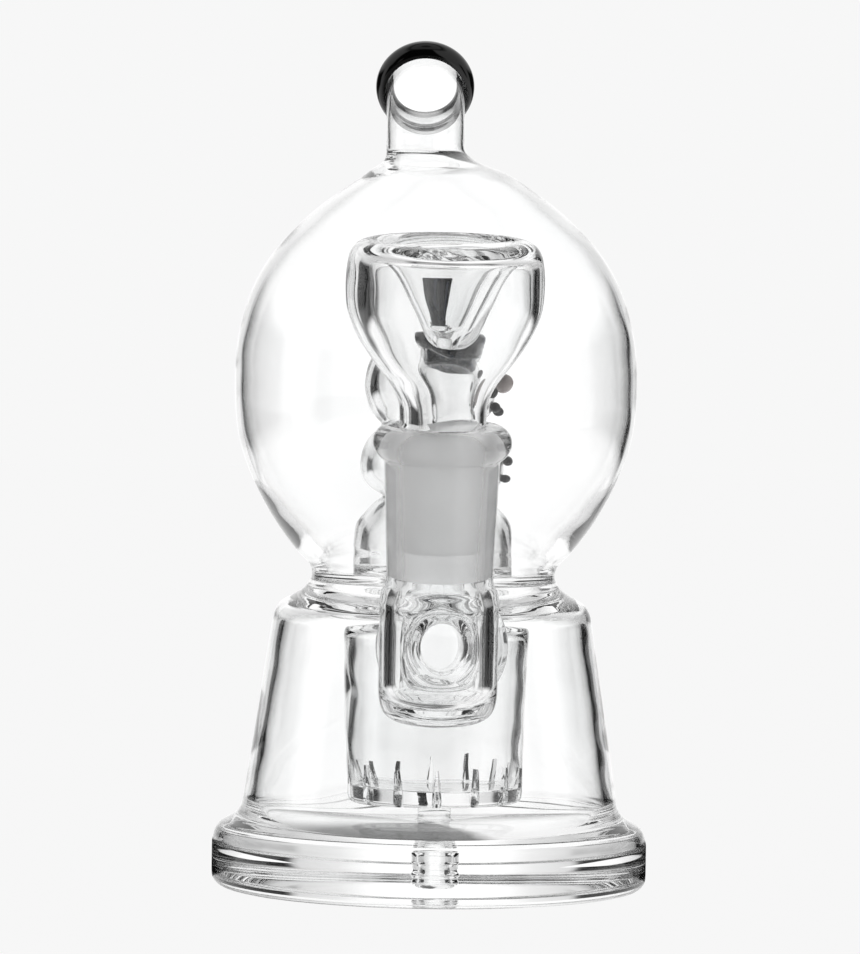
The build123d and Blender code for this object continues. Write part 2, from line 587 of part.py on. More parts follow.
with BuildPart() as bowl_rim:
    with BuildSketch(JOINT_PLANE):
        with BuildLine():
            Spline(BULB_OUT[-1], (15.9, 68.0), (14.7, 69.4), (12.9, 69.9), (10.9, 69.2), (9.3, 67.8), (8.0, BULB_TOP),
                   tangents=[(-0.1, 1), (-0.45, -1)])
            Line((8.0, BULB_TOP), (10.3, BULB_TOP))
            Spline((10.3, BULB_TOP), (11.0, 66.9), (12.0, 67.3), (13.1, 67.0), BULB_IN[-1],
                   tangents=[(0.3, 1), (0.15, -1)])
            Line(BULB_IN[-1], BULB_OUT[-1])
        make_face()
    revolve(axis=JOINT_AXIS)

with BuildPart() as bowl_funnel:
    with BuildSketch(JOINT_PLANE):
        with BuildLine():
            Line((8.0, BULB_TOP), (2.9, 55.6))
            Polyline((2.9, 55.6), (1.7, 54.5), (1.2, 53.6), (1.2, 52.5))
            Spline((1.2, 52.5), (2.3, 52.6), (3.3, 53.05), (4.2, 53.9), (5.1, 55.6))
            Line((5.1, 55.6), (10.3, BULB_TOP))
            Line((10.3, BULB_TOP), (8.0, BULB_TOP))
        make_face()
    revolve(axis=JOINT_AXIS)

# ----------------------------------------------------------------------------
# Labels and export
# ----------------------------------------------------------------------------
PIECES = {
    "foot_plate": foot_plate.part,
    "foot_flange": foot_flange.part,
    "can_wall": can_wall.part,
    "can_shoulder": can_shoulder.part,
    "waist_ring": waist_ring.part,
    "globe": globe,
    "neck_ring": neck_ring.part,
    "globe_floor": globe_floor.part,
    "mouthpiece_tube": mouthpiece_tube.part,
    "mouth_lip": mouth_lip.part,
    "joint_lip": joint_lip.part,
    "joint_socket": joint_socket.part,
    "joint_tube": joint_tube.part,
    "inlet_arm": inlet_arm.part,
    "arm_weld_ring": arm_weld_ring.part,
    "perc_dome": perc_dome.part,
    "perc_slit_ring": perc_slit_ring.part,
    "perc_base": perc_base.part,
    "perc_post": perc_post.part,
    "figure_base": figure_base.part,
    "figure_body": figure_body,
    "figure_head": figure_head,
    "hat_brim": hat_brim.part,
    "hat_band": hat_band.part,
    "hat_crown": hat_crown.part,
    "nose_bead": nose_bead.part,
    "eye_beads": eye_beads.part,
    "mouth_beads": mouth_beads.part,
    "button_beads": button_beads.part,
    "bowl_joint": bowl_joint.part,
    "bowl_neck": bowl_neck.part,
    "bowl_bulb": bowl_bulb.part,
    "bowl_rim": bowl_rim.part,
    "bowl_funnel": bowl_funnel.part,
}

for label, piece in PIECES.items():
    piece.label = label
    export_step(piece, f"parts/{label}.step")
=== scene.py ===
import math

import bmesh
import bpy
import numpy as np
from mathutils import Matrix, Vector


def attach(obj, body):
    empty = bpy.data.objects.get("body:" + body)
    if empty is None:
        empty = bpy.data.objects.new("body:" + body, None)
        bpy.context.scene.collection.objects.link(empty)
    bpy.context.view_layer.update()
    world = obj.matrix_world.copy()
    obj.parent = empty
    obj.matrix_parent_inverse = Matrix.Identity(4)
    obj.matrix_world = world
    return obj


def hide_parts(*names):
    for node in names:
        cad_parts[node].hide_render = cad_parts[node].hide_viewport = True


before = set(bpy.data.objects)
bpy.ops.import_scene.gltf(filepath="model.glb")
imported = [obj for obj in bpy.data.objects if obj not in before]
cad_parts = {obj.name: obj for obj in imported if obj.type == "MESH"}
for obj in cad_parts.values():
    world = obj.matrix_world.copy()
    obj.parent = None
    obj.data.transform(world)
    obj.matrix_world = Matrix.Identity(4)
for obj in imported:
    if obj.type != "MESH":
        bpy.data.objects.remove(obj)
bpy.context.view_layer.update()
MM = 0.001

# ----------------------------------------------------------------------------
# Dimensions, millimetres, in the frame of the CAD model
# ----------------------------------------------------------------------------
JT = math.radians(8.0)
J_O = np.array([0.0, -44.0, 44.6])
J_D = np.array([0.0, -math.sin(JT), math.cos(JT)])
J_V = np.array([0.0, math.cos(JT), math.sin(JT)])
ARM_Z, ARM_R, ARM_BORE = 44.0, 6.3, 4.1
BEND_S, BEND_R, BEND_A = 133.0, 9.0, math.radians(58.0)
TUBE_END_S = BEND_S + BEND_R * BEND_A + 5.5
TUBE_R, TUBE_BORE = 6.95, 6.35
NECK_X = -2.5

SEGS = 288


# ----------------------------------------------------------------------------
# Profiles
# ----------------------------------------------------------------------------
def curve(points, step=0.12):
    """Centripetal Catmull-Rom curve through the points, sampled finely."""
    p = np.array(points, float)
    if len(p) == 2:
        n = max(2, int(np.linalg.norm(p[1] - p[0]) / step))
        return p[0] + (p[1] - p[0]) * np.linspace(0, 1, n + 1)[:, None]
    q = np.vstack([2 * p[0] - p[1], p, 2 * p[-1] - p[-2]])
    out = []
    for i in range(1, len(q) - 2):
        a, b, c, d = q[i - 1], q[i], q[i + 1], q[i + 2]
        t0 = 0.0
        t1 = t0 + max(np.linalg.norm(b - a), 1e-6) ** 0.5
        t2 = t1 + max(np.linalg.norm(c - b), 1e-6) ** 0.5
        t3 = t2 + max(np.linalg.norm(d - c), 1e-6) ** 0.5
        n = max(2, int(np.linalg.norm(c - b) / step))
        t = np.linspace(t1, t2, n + 1)[:-1, None]
        a1 = (t1 - t) / (t1 - t0) * a + (t - t0) / (t1 - t0) * b
        a2 = (t2 - t) / (t2 - t1) * b + (t - t1) / (t2 - t1) * c
        a3 = (t3 - t) / (t3 - t2) * c + (t - t2) / (t3 - t2) * d
        b1 = (t2 - t) / (t2 - t0) * a1 + (t - t0) / (t2 - t0) * a2
        b2 = (t3 - t) / (t3 - t1) * a2 + (t - t1) / (t3 - t1) * a3
        out.append((t2 - t) / (t2 - t1) * b1 + (t - t1) / (t2 - t1) * b2)
    out.append(p[-1:])
    return np.vstack(out)


def profile(parts, closed=False, soft=0.35, fine=0.3, coarse=0.85):
    """Joins (points, tag) curves into one outline, rounds every corner by about `soft`
    millimetres and resamples it, denser where it bends. Returns (r, s, tag) rows."""
    rows = []
    for points, tag in parts:
        c = curve(points)
        rows.append(np.hstack([c, np.full((len(c), 1), float(tag))]))
    a = np.vstack(rows)
    keep = np.ones(len(a), bool)
    keep[1:] = np.linalg.norm(np.diff(a[:, :2], axis=0), axis=1) > 1e-4
    a = a[keep]
    if closed and np.linalg.norm(a[0, :2] - a[-1, :2]) < 1e-4:
        a = a[:-1]
    # even spacing
    if closed:
        a = np.vstack([a, a[:1]])
    seg = np.linalg.norm(np.diff(a[:, :2], axis=0), axis=1)
    arc = np.concatenate([[0], np.cumsum(seg)])
    n = int(arc[-1] / 0.06)
    t = np.linspace(0, arc[-1], n + 1)
    b = np.stack([np.interp(t, arc, a[:, 0]), np.interp(t, arc, a[:, 1])], 1)
    tag = a[np.clip(np.searchsorted(arc, t, side="left"), 0, len(a) - 1), 2]
    if closed:
        b, tag = b[:-1], tag[:-1]
    # corner rounding
    h = arc[-1] / n
    w = int(round(3 * soft / h))
    k = np.exp(-0.5 * (np.arange(-w, w + 1) * h / soft) ** 2)
    k /= k.sum()
    if closed:
        e = np.vstack([b[-w:], b, b[:w]])
    else:
        # at the axis the outline is mirrored, so its end stays on the axis and level
        e = np.vstack([(b[1:w + 1] * [-1, 1])[::-1], b, (b[-w - 1:-1] * [-1, 1])[::-1]])
    b = np.stack([np.convolve(e[:, i], k, mode="valid") for i in range(2)], 1)
    if not closed:
        b[0, 0] = 0.0
        b[-1, 0] = 0.0
    # resample by curvature
    if closed:
        b = np.vstack([b, b[:1]])
        tag = np.append(tag, tag[0])
    d = np.diff(b, axis=0)
    ds = np.linalg.norm(d, axis=1)
    ang = np.unwrap(np.arctan2(d[:, 1], d[:, 0]))
    curv = np.abs(np.gradient(ang)) / np.maximum(ds, 1e-9)
    ks = np.ones(13) / 13
    curv = np.convolve(np.pad(curv, 6, mode="edge"), ks, mode="valid")
    want = np.clip(0.16 / np.maximum(curv, 1e-6), fine, coarse)
    cost = np.concatenate([[0], np.cumsum(ds / want)])
    m = max(8, int(round(cost[-1])))
    t = np.linspace(0, cost[-1], m + 1)
    out = np.stack([np.interp(t, cost, b[:, 0]), np.interp(t, cost, b[:, 1]),
                    tag[np.clip(np.searchsorted(cost, t, side="left"), 0, len(tag) - 1)]], 1)
    if closed:
        out = out[:-1]
    else:
        out[0, 0] = 0.0
        out[-1, 0] = 0.0
    return out


# ----------------------------------------------------------------------------
# Frames along which outlines are turned
# ----------------------------------------------------------------------------
def frame_main(s):
    """Ring centre and axes for the envelope: straight up, then the neck's bend."""
    t = min(max((s - 126.2) / 5.8, 0.0), 1.0)
    x = NECK_X * t * t * (3 - 2 * t)
    if s <= BEND_S:
        return np.array([x, 0, s]), np.array([1, 0, 0]), np.array([0, 1, 0])
    a = min((s - BEND_S) / BEND_R, BEND_A)
    rest = max(0.0, s - BEND_S - BEND_R * BEND_A)
    o = np.array([x, BEND_R * (1 - math.cos(a)) + rest * math.sin(a),
                  BEND_S + BEND_R * math.sin(a) + rest * math.cos(a)])
    return o, np.array([1, 0, 0]), np.array([0, math.cos(a), -math.sin(a)])


def frame_joint(s):
    return J_O + J_D * s, np.array([1.0, 0, 0]), J_V


def frame_arm(s):
    """s runs along +Y."""
    return np.array([1.0, s, ARM_Z + 0.1 + 0.9 * (-12.0 - s) / 31.0]), np.array([1.0, 0, 0]), np.array([0, 0, -1.0])


def lean(s):
    """How far the figure's centre stands off the axis in x."""
    return float(np.interp(s, [56, 62, 75, 90, 110], [0, 0, -0.5, -1.0, -1.0]))


def wobble(theta, s, seed, amp):
    """Slow, seeded waviness of hand-worked glass, in millimetres."""
    if not amp:
        return 0.0
    rng = np.random.RandomState(seed)
    out = 0.0
    for k in (1, 2, 3, 5):
        ph, ps, w = rng.uniform(0, 6.283, 3)
        out = out + np.cos(k * theta + ph + 0.05 * (1 + k) * s) * np.cos(0.11 * k * s + ps) / k
    return amp * out


def turn(outline, frame_fn, segs=SEGS, closed=False, wob=None):
    """Turns an outline (r, s, tag) about its frame. Returns vertices and faces."""
    th = np.arange(segs) * (2 * math.pi / segs)
    ct, st = np.cos(th), np.sin(th)
    verts, rings = [], []
    for i, (r, s, tag) in enumerate(outline):
        o, u, v = frame_fn(s)
        if tag == 1:
            o = o + np.array([lean(s), 0, 0])
        if tag in (4, 5, 10):
            o = o + np.array([0.8, 0, 0])
        if r < 1e-6:
            rings.append([sum(len(x) for x in verts)])
            verts.append(o[None, :])
            continue
        rr = r
        if wob:
            rr = r + wob(th, s, r, tag)
        rings.append(None)
        base = sum(len(x) for x in verts)
        rings[-1] = range(base, base + segs)
        verts.append(o + np.outer(rr * ct, u) + np.outer(rr * st, v))
    faces = []
    n = len(rings)
    for i in range(n if closed else n - 1):
        a, b = rings[i], rings[(i + 1) % n]
        if len(a) == 1 and len(b) == 1:
            continue
        if len(a) == 1:
            faces += [(a[0], b[j], b[(j + 1) % segs]) for j in range(segs)]
        elif len(b) == 1:
            faces += [(a[j], b[0], a[(j + 1) % segs]) for j in range(segs)]
        else:
            a0, b0 = a[0], b[0]
            faces += [(a0 + j, b0 + j, b0 + (j + 1) % segs, a0 + (j + 1) % segs) for j in range(segs)]
    return np.vstack(verts), faces


def make(name, verts, faces, link=True):
    me = bpy.data.meshes.new(name)
    me.from_pydata((np.asarray(verts) * MM).tolist(), [], faces)
    bm = bmesh.new()
    bm.from_mesh(me)
    bmesh.ops.recalc_face_normals(bm, faces=bm.faces)
    if bm.calc_volume(signed=True) < 0:
        bmesh.ops.reverse_faces(bm, faces=bm.faces)
    bm.to_mesh(me)
    bm.free()
    ob = bpy.data.objects.new(name, me)
    if link:
        bpy.context.scene.collection.objects.link(ob)
    return ob


def combine(target, other, how):
    """Boolean of two closed meshes; the other one is used up."""
    m = target.modifiers.new("b", "BOOLEAN")
    m.operation = how
    m.solver = "MANIFOLD"
    m.object = other
    dg = bpy.context.evaluated_depsgraph_get()
    me = bpy.data.meshes.new_from_object(target.evaluated_get(dg))
    if len(me.polygons) == 0:
        raise RuntimeError(f"boolean {how} with {other.name} gave nothing")
    target.modifiers.clear()
    old = target.data
    target.data = me
    bpy.data.meshes.remove(old)
    om = other.data
    bpy.data.objects.remove(other)
    bpy.data.meshes.remove(om)
    return target


# ----------------------------------------------------------------------------
# The fused pipe: outer skin with globe room, then rooms cut out of it
# ----------------------------------------------------------------------------
FIG_OUT = [(14.2, 56.0), (14.2, 58.5), (14.2, 61.0), (14.0, 62.8), (13.1, 64.8), (11.4, 66.7), (8.75, 68.3)]
BODY_OUT = [(8.75, 68.3), (11.3, 70.2), (12.5, 72.6), (12.8, 75.3), (12.3, 78.1), (10.9, 80.5), (8.6, 82.4)]
HEAD_OUT = [(8.6, 82.4), (10.6, 84.4), (11.5, 87.2), (11.6, 90.0), (10.9, 93.4), (9.0, 96.6), (6.4, 98.6),
            (3.4, 99.65), (0, 100.0)]
GLOBE_OUT = [(22.9, 53.3), (21.9, 54.8), (21.7, 56.2), (22.3, 57.7), (24.0, 59.4), (28.6, 65.5), (32.6, 73.0),
             (35.1, 80.5), (35.9, 89.5), (35.2, 98.5), (32.7, 107.0), (28.3, 114.2), (22.5, 120.1),
             (16.3, 124.8), (11.9, 127.7), (8.5, 129.4), (7.1, 131.0), (TUBE_R, 132.6)]
GLOBE_IN = [(TUBE_BORE, 132.0), (6.4, 130.6), (6.8, 129.3), (7.9, 128.1), (11.1, 126.35), (15.4, 123.5),
            (21.4, 118.9), (27.1, 113.2), (31.3, 106.4), (33.8, 98.1), (34.45, 89.5), (33.65, 80.9), (31.2, 73.6),
            (27.3, 67.2), (23.3, 62.4), (21.0, 59.9), (19.7, 58.2), (19.2, 57.0), (19.2, 56.0)]

outer = profile([
    ([(0, 0), (36.4, 0)], 0),
    ([(36.4, 0), (37.9, 0.5), (38.7, 1.6), (38.8, 2.6)], 0),
    ([(38.8, 2.6), (38.8, 8.3)], 0),
    ([(38.8, 8.3), (38.45, 9.3), (38.3, 10.1), (37.2, 11.3), (35.5, 12.2), (34.2, 13.3), (33.45, 15.0)], 0),
    ([(33.45, 15.0), (28.45, 47.6)], 0),
    ([(28.45, 47.6), (28.15, 49.1), (27.1, 50.7), (24.9, 52.0), (22.9, 53.3)], 0),
    (GLOBE_OUT, 0),
    ([(TUBE_R, 132.6), (TUBE_R, 136.0), (7.0, 140.0), (7.1, TUBE_END_S)], 0),
    ([(7.1, TUBE_END_S), (6.5, TUBE_END_S)], 0),
    ([(6.5, TUBE_END_S), (6.55, 140.0), (6.5, 136.0), (TUBE_BORE, 132.0)], 0),
    (GLOBE_IN, 2),
    ([(19.2, 56.0), (14.2, 56.0)], 2),
    (FIG_OUT, 1), (BODY_OUT, 1), (HEAD_OUT, 1)])

can_room = profile([
    ([(0, 97.9), (2.9, 97.6), (5.4, 96.7), (7.6, 94.9), (9.1, 92.4), (9.6, 90.0), (9.5, 87.8), (8.6, 85.2),
      (6.5, 82.4)], 1),
    ([(6.5, 82.4), (9.0, 79.8), (10.6, 77.5), (11.2, 75.3), (10.9, 73.0), (9.6, 70.9), (6.6, 68.3)], 1),
    ([(6.6, 68.3), (8.2, 66.4), (10.1, 64.6), (11.7, 62.6), (12.3, 60.6), (12.3, 58.6)], 1),
    ([(12.3, 58.6), (11.2, 57.2), (9.0, 56.3), (7.0, 55.2), (7.0, 53.8)], 3),
    ([(7.0, 53.8), (19.2, 53.8)], 3),
    ([(19.2, 53.8), (19.2, 53.2), (20.0, 51.75), (21.8, 50.7), (23.9, 49.8), (25.6, 48.9), (26.4, 47.6)], 3),
    ([(26.4, 47.6), (31.4, 15.0)], 3),
    ([(31.4, 15.0), (31.4, 9.0)], 3),
    ([(31.4, 9.0), (3.5, 9.0)], 3),
    ([(3.5, 9.0), (3.0, 10.2), (3.0, 15.0)], 4),
    ([(3.0, 15.0), (14.3, 15.0)], 4),
    ([(14.3, 15.0), (15.3, 15.5), (15.65, 16.6)], 4),
    ([(15.65, 16.6), (15.9, 24.0), (16.5, 43.0)], 4),
    ([(16.5, 43.0), (16.55, 45.9), (16.0, 47.7), (14.3, 48.9), (12.0, 49.8), (9.0, 50.8), (5.0, 51.7),
      (0, 52.0)], 4)])

perc_room = profile([
    ([(0, 17.8), (14.0, 17.8)], 5),
    ([(14.0, 17.8), (14.3, 24.0), (14.9, 43.0)], 5),
    ([(14.9, 43.0), (14.7, 45.4), (13.4, 46.9), (11.2, 47.9), (8.0, 48.9), (4.0, 49.6), (0, 49.9)], 5)])

joint_out = profile([
    ([(0, -12.0), (4.8, -11.9), (7.8, -11.5), (9.2, -10.5), (9.9, -8.8), (10.1, -6.8)], 0),
    ([(10.1, -6.8), (10.1, 9.0)], 0),
    ([(10.1, 9.0), (9.8, 10.4), (9.15, 11.6), (9.0, 12.8)], 0),
    ([(9.0, 12.8), (9.75, 32.8)], 0),
    ([(9.75, 32.8), (10.7, 33.45), (11.45, 34.5), (11.75, 35.8), (11.35, 37.3), (10.3, 38.35), (9.0, 38.7)], 0),
    ([(9.0, 38.7), (0, 38.7)], 0)])

joint_bore = profile([
    ([(0, -8.9), (4.0, -8.8), (6.3, -8.4), (7.5, -7.5), (7.95, -6.0)], 6),
    ([(7.95, -6.0), (7.95, 8.2)], 6),
    ([(7.95, 8.2), (7.4, 9.9), (6.35, 12.0), (6.08, 13.6)], 6),
    ([(6.08, 13.6), (7.33, 38.6)], 7),
    ([(7.33, 38.6), (7.6, 39.2), (7.6, 44.0)], 7),
    ([(7.6, 44.0), (0, 44.0)], 7)], soft=0.2)


def wob_main(th, s, r, tag):
    if tag == 2:
        return wobble(th, s, 11, 0.10)
    if tag == 1:
        return wobble(th, s, 23, 0.12)
    if 15 < s < 126:
        return wobble(th, s, 5, 0.05)
    return 0.0


def wob_can(th, s, r, tag):
    if tag == 3:
        return wobble(th, s, 31, 0.08) if s > 9.5 else 0.0
    if tag == 4:
        return wobble(th, s, 37, 0.12) if s > 15.5 else 0.0
    return wobble(th, s, 41, 0.15)


def wob_perc(th, s, r, tag):
    return wobble(th, s, 43, 0.14)


pipe = make("pipe_glass", *turn(outer, frame_main, wob=wob_main))
combine(pipe, make("c1", *turn(can_room, frame_main, wob=wob_can)), "DIFFERENCE")

arm = profile([
    ([(0, -43.0), (ARM_R, -43.0)], 0),
    ([(ARM_R, -43.0), (ARM_R, -34.2)], 0),
    ([(ARM_R, -34.2), (7.0, -32.2), (8.3, -30.7), (10.2, -29.7), (11.6, -28.0)], 0),
    ([(11.6, -28.0), (10.4, -26.2), (8.2, -25.0), (6.9, -23.2), (ARM_R, -21.0)], 0),
    ([(ARM_R, -21.0), (6.6, -18.5), (7.7, -16.8), (9.3, -15.6)], 0),
    ([(9.3, -15.6), (9.3, -15.2), (0, -15.2)], 0)], soft=0.3)
arm_solid = make("a1", *turn(arm, frame_arm, segs=160))
combine(pipe, arm_solid, "UNION")
combine(pipe, make("j1", *turn(joint_out, frame_joint, segs=200)), "UNION")
combine(pipe, make("j2", *turn(joint_bore, frame_joint, segs=200)), "DIFFERENCE")
combine(pipe, make("p1", *turn(perc_room, frame_main, segs=220, wob=wob_perc)), "DIFFERENCE")
bore = profile([([(0, -41.0), (7.3, -41.0)], 8),
                ([(7.3, -41.0), (7.3, -37.6), (6.7, -36.4), (5.2, -35.2), (4.4, -34.0), (ARM_BORE, -32.4)], 8),
                ([(ARM_BORE, -32.4), (ARM_BORE, -16.4)], 8),
                ([(ARM_BORE, -16.4), (4.2, -15.0), (4.9, -13.6), (6.0, -12.9), (6.0, -11.5)], 8),
                ([(6.0, -11.5), (0, -11.5)], 8)], soft=0.2)
combine(pipe, make("b1", *turn(bore, frame_arm, segs=120)), "DIFFERENCE")


def prism(outline, y0, y1, angle):
    """Extrudes an (x, z) outline from radius y0 to y1, turned about Z."""
    n = len(outline)
    ca, sa = math.cos(angle), math.sin(angle)
    v = []
    for y, k in ((y0, 0.45), (15.0, 1.0), (y1, 2.6)):
        for x, z in outline:
            v.append((0.8 + x * k * ca - y * sa, x * k * sa + y * ca, z))
    f = [tuple(range(n))[::-1], tuple(range(2 * n, 3 * n))]
    for q in (0, n):
        f += [(q + i, q + (i + 1) % n, q + n + (i + 1) % n, q + n + i) for i in range(n)]
    return v, f


# fourteen slits, wide and rounded below, drawn out to a point above
verts, faces = [], []
for i in range(14):
    rng = np.random.RandomState(100 + i)
    w = 0.62 + 0.12 * rng.rand()
    top = 21.6 + 1.0 * rng.rand()
    skew = 0.25 * (rng.rand() - 0.5)
    shape = [(-w * 1.05, 14.0), (w * 1.05, 14.0), (w, 16.2), (w * 0.82, 18.0), (w * 0.5 + skew, 20.0),
             (0.16 + skew, top), (-0.16 + skew, top), (-w * 0.5 + skew, 20.0), (-w * 0.82, 18.0), (-w, 16.2)]
    v, f = prism(shape, 13.25, 18.5, math.pi + i * 2 * math.pi / 14)
    base = len(verts)
    verts += v
    faces += [tuple(base + k for k in q) for q in f]
combine(pipe, make("s1", verts, faces), "DIFFERENCE")

hole = profile([([(0, -18), (2.2, -18)], 9), ([(2.2, -18), (2.2, 18)], 9), ([(2.2, 18), (0, 18)], 9)], soft=0.1)


def frame_hole(s):
    return np.array([0, s, 60.0]), np.array([1.0, 0, 0]), np.array([0, 0, -1.0])


combine(pipe, make("h1", *turn(hole, frame_hole, segs=64)), "DIFFERENCE")

# where the post was pushed into the foot it left a ringed hollow in the glass
hollow = profile([
    ([(0, 0.9), (2.3, 1.1), (3.0, 2.0)], 10),
    ([(3.0, 2.0), (2.75, 2.7), (3.05, 3.4), (2.7, 4.2), (3.0, 5.0), (2.6, 5.7), (2.9, 6.5)], 10),
    ([(2.9, 6.5), (2.2, 7.7), (0, 8.0)], 10)], soft=0.15)
combine(pipe, make("f1", *turn(hollow, frame_main, segs=96, wob=lambda th, s, r, tag: wobble(th, s, 91, 0.1))),
        "DIFFERENCE")

# ----------------------------------------------------------------------------
# The bowl: one turned outline of glass round the joint's axis
# ----------------------------------------------------------------------------
bowl_outline = profile([
    ([(4.3, 17.6), (6.2, 17.6)], 1),
    ([(6.2, 17.6), (7.28, 38.6)], 1),
    ([(7.28, 38.6), (7.32, 40.2), (7.55, 42.6), (8.95, 45.7), (11.95, 49.7), (14.6, 53.8), (16.3, 57.9),
      (16.7, 62.0), (16.45, 66.0), (15.9, 68.0), (14.7, 69.4), (12.9, 69.9), (10.9, 69.2), (9.3, 67.8),
      (8.0, 66.0)], 2),
    ([(8.0, 66.0), (2.9, 55.6)], 3),
    ([(2.9, 55.6), (1.7, 54.5), (1.2, 53.6), (1.2, 52.5)], 3),
    ([(1.2, 52.5), (2.3, 52.6), (3.3, 53.05), (4.2, 53.9), (5.1, 55.6)], 4),
    ([(5.1, 55.6), (10.3, 66.0)], 4),
    ([(10.3, 66.0), (11.0, 66.9), (12.0, 67.3), (13.1, 67.0), (13.7, 66.0), (13.9, 62.0), (13.5, 58.0),
      (11.9, 54.2), (9.4, 50.0), (6.6, 45.9), (5.4, 42.6), (5.2, 38.6)], 5),
    ([(5.2, 38.6), (4.3, 17.6)], 6)], closed=True, soft=0.22)


def wob_bowl(th, s, r, tag):
    if tag == 2 and s > 44:
        return wobble(th, s, 51, 0.04)
    if tag in (3, 4):
        return wobble(th, s, 53, 0.07) * min(1.0, r / 4.0)
    if tag == 5:
        return wobble(th, s, 59, 0.09)
    return 0.0


bowl = make("bowl_glass", *turn(bowl_outline, frame_joint, segs=256, closed=True, wob=wob_bowl))


# ----------------------------------------------------------------------------
# Sort the fused skins into the pieces they belong to
# ----------------------------------------------------------------------------
def face_data(me):
    n = len(me.polygons)
    c = np.zeros(n * 3, np.float32)
    me.polygons.foreach_get("center", c)
    nv = np.zeros(n * 3, np.float32)
    me.polygons.foreach_get("normal", nv)
    return c.reshape(-1, 3) / MM, nv.reshape(-1, 3)


def joint_coords(c):
    d = c - J_O
    s = d @ J_D
    rad = d - np.outer(s, J_D)
    return np.linalg.norm(rad, axis=1), s


def split(ob, labels, names, prefix=""):
    """Cuts a fused skin into open-edged named pieces that keep its normals."""
    me = ob.data
    me.shade_smooth()
    me.set_sharp_from_angle(angle=math.radians(42))
    cn = np.zeros(len(me.loops) * 3, np.float32)
    me.corner_normals.foreach_get("vector", cn)
    cn = cn.reshape(-1, 3)
    co = np.zeros(len(me.vertices) * 3, np.float32)
    me.vertices.foreach_get("co", co)
    co = co.reshape(-1, 3)
    lv = np.zeros(len(me.loops), np.int32)
    me.loops.foreach_get("vertex_index", lv)
    ls = np.zeros(len(me.polygons), np.int32)
    lt = np.zeros(len(me.polygons), np.int32)
    me.polygons.foreach_get("loop_start", ls)
    me.polygons.foreach_get("loop_total", lt)
    made = {}
    for k, name in enumerate(names):
        idx = np.nonzero(labels == k)[0]
        if len(idx) == 0:
            print("piece with no faces:", name)
            continue
        loops = np.concatenate([np.arange(ls[i], ls[i] + lt[i]) for i in idx])
        used, inv = np.unique(lv[loops], return_inverse=True)
        sub = bpy.data.meshes.new(name)
        sub.vertices.add(len(used))
        sub.vertices.foreach_set("co", co[used].ravel())
        sub.loops.add(len(loops))
        sub.loops.foreach_set("vertex_index", inv.astype(np.int32))
        sub.polygons.add(len(idx))
        starts = np.concatenate([[0], np.cumsum(lt[idx])[:-1]]).astype(np.int32)
        sub.polygons.foreach_set("loop_start", starts)
        sub.polygons.foreach_set("loop_total", lt[idx])
        sub.polygons.foreach_set("use_smooth", np.ones(len(idx), bool))
        sub.update(calc_edges=True)
        sub.validate()
        sub.normals_split_custom_set(cn[loops].tolist())
        o = bpy.data.objects.new(name, sub)
        bpy.context.scene.collection.objects.link(o)
        made[name] = o
    bpy.data.objects.remove(ob)
    return made


PIPE = ["foot_plate", "foot_flange", "can_wall", "can_shoulder", "waist_ring", "globe", "neck_ring",
        "mouthpiece_tube", "globe_floor", "joint_lip", "joint_socket", "joint_tube", "inlet_arm",
        "arm_weld_ring", "perc_dome", "perc_slit_ring", "perc_base", "perc_post", "figure_base",
        "figure_body", "figure_head"]
P = {n: i for i, n in enumerate(PIPE)}
c, nrm = face_data(pipe.data)
x, y, z = c.T
r = np.hypot(x, y)
rp = np.hypot(x - 0.8, y)
lab = np.full(len(c), -1)


def put(mask, name):
    lab[(lab < 0) & mask] = P[name]


rho, sj = joint_coords(c)
ra = np.hypot(x - 1.0, z - (ARM_Z + 0.1 + 0.9 * (-12.0 - y) / 31.0))
near_joint = (y < -31.0) & (rho < 11.95) & (sj > -12.3)
put(near_joint & (sj > 33.0), "joint_lip")
put(near_joint & (sj > 11.8) & (rho < 10.4), "joint_socket")
put(near_joint & (sj <= 11.8) & (rho < 10.16) & ~((rho < 7.7) & (ra < 4.3) & (y > -37.5)), "joint_tube")
arm_zone = (y > -44.0) & (y < -14.0) & (ra < 12.3)
on_arm = arm_zone & (np.abs(ra - ARM_R) < 0.12) | arm_zone & (np.abs(ra - ARM_BORE) < 0.08)
can_out = np.interp(z, [15.0, 47.6], [33.45, 28.45])
outside_can = arm_zone & (r > can_out + 0.12) & (ra < 12.0) & (z < 52.5) & (y < -20)
put(outside_can & (ra > ARM_R + 0.12), "arm_weld_ring")
put(on_arm & ~((rp < 16.8) & (z < 52.0) & (ra > 4.4)), "inlet_arm")
inside_can = (r < can_out - 1.7) & (z > 9.2) & (z < 53.7)
put(inside_can & arm_zone & (rp > 16.85) & (ra < 12.0) & (y < -17.0), "inlet_arm")
in_perc = (rp < 16.9) & (z > 14.9) & (z < 52.1)
put(in_perc & (z > 24.0), "perc_dome")
put(in_perc & (rp > 13.68), "perc_slit_ring")
put(in_perc & (z < 18.2), "perc_base")
put(in_perc, "perc_dome")
put((rp < 3.6) & (z > 9.02) & (z < 15.0), "perc_post")
fig = (np.hypot(x - np.interp(z, [56, 62, 75, 90, 110], [0, 0, -0.5, -1, -1]), y) < 14.7) & (z > 56.05) & (z < 101)
put(fig & (z > 82.4), "figure_head")
put(fig & (z > 68.3), "figure_body")
put(fig, "figure_base")
put((r < 19.1) & (z > 53.5) & (z <= 56.3), "globe_floor")
put(z < 9.1, "foot_plate")
put(z < 15.0, "foot_flange")
put(z < 47.6, "can_wall")
put(z < 53.2, "can_shoulder")
put(z < 57.6, "waist_ring")
put(z < 126.2, "globe")
put(z < 132.0, "neck_ring")
put(z < 400, "mouthpiece_tube")
pieces = split(pipe, lab, PIPE)

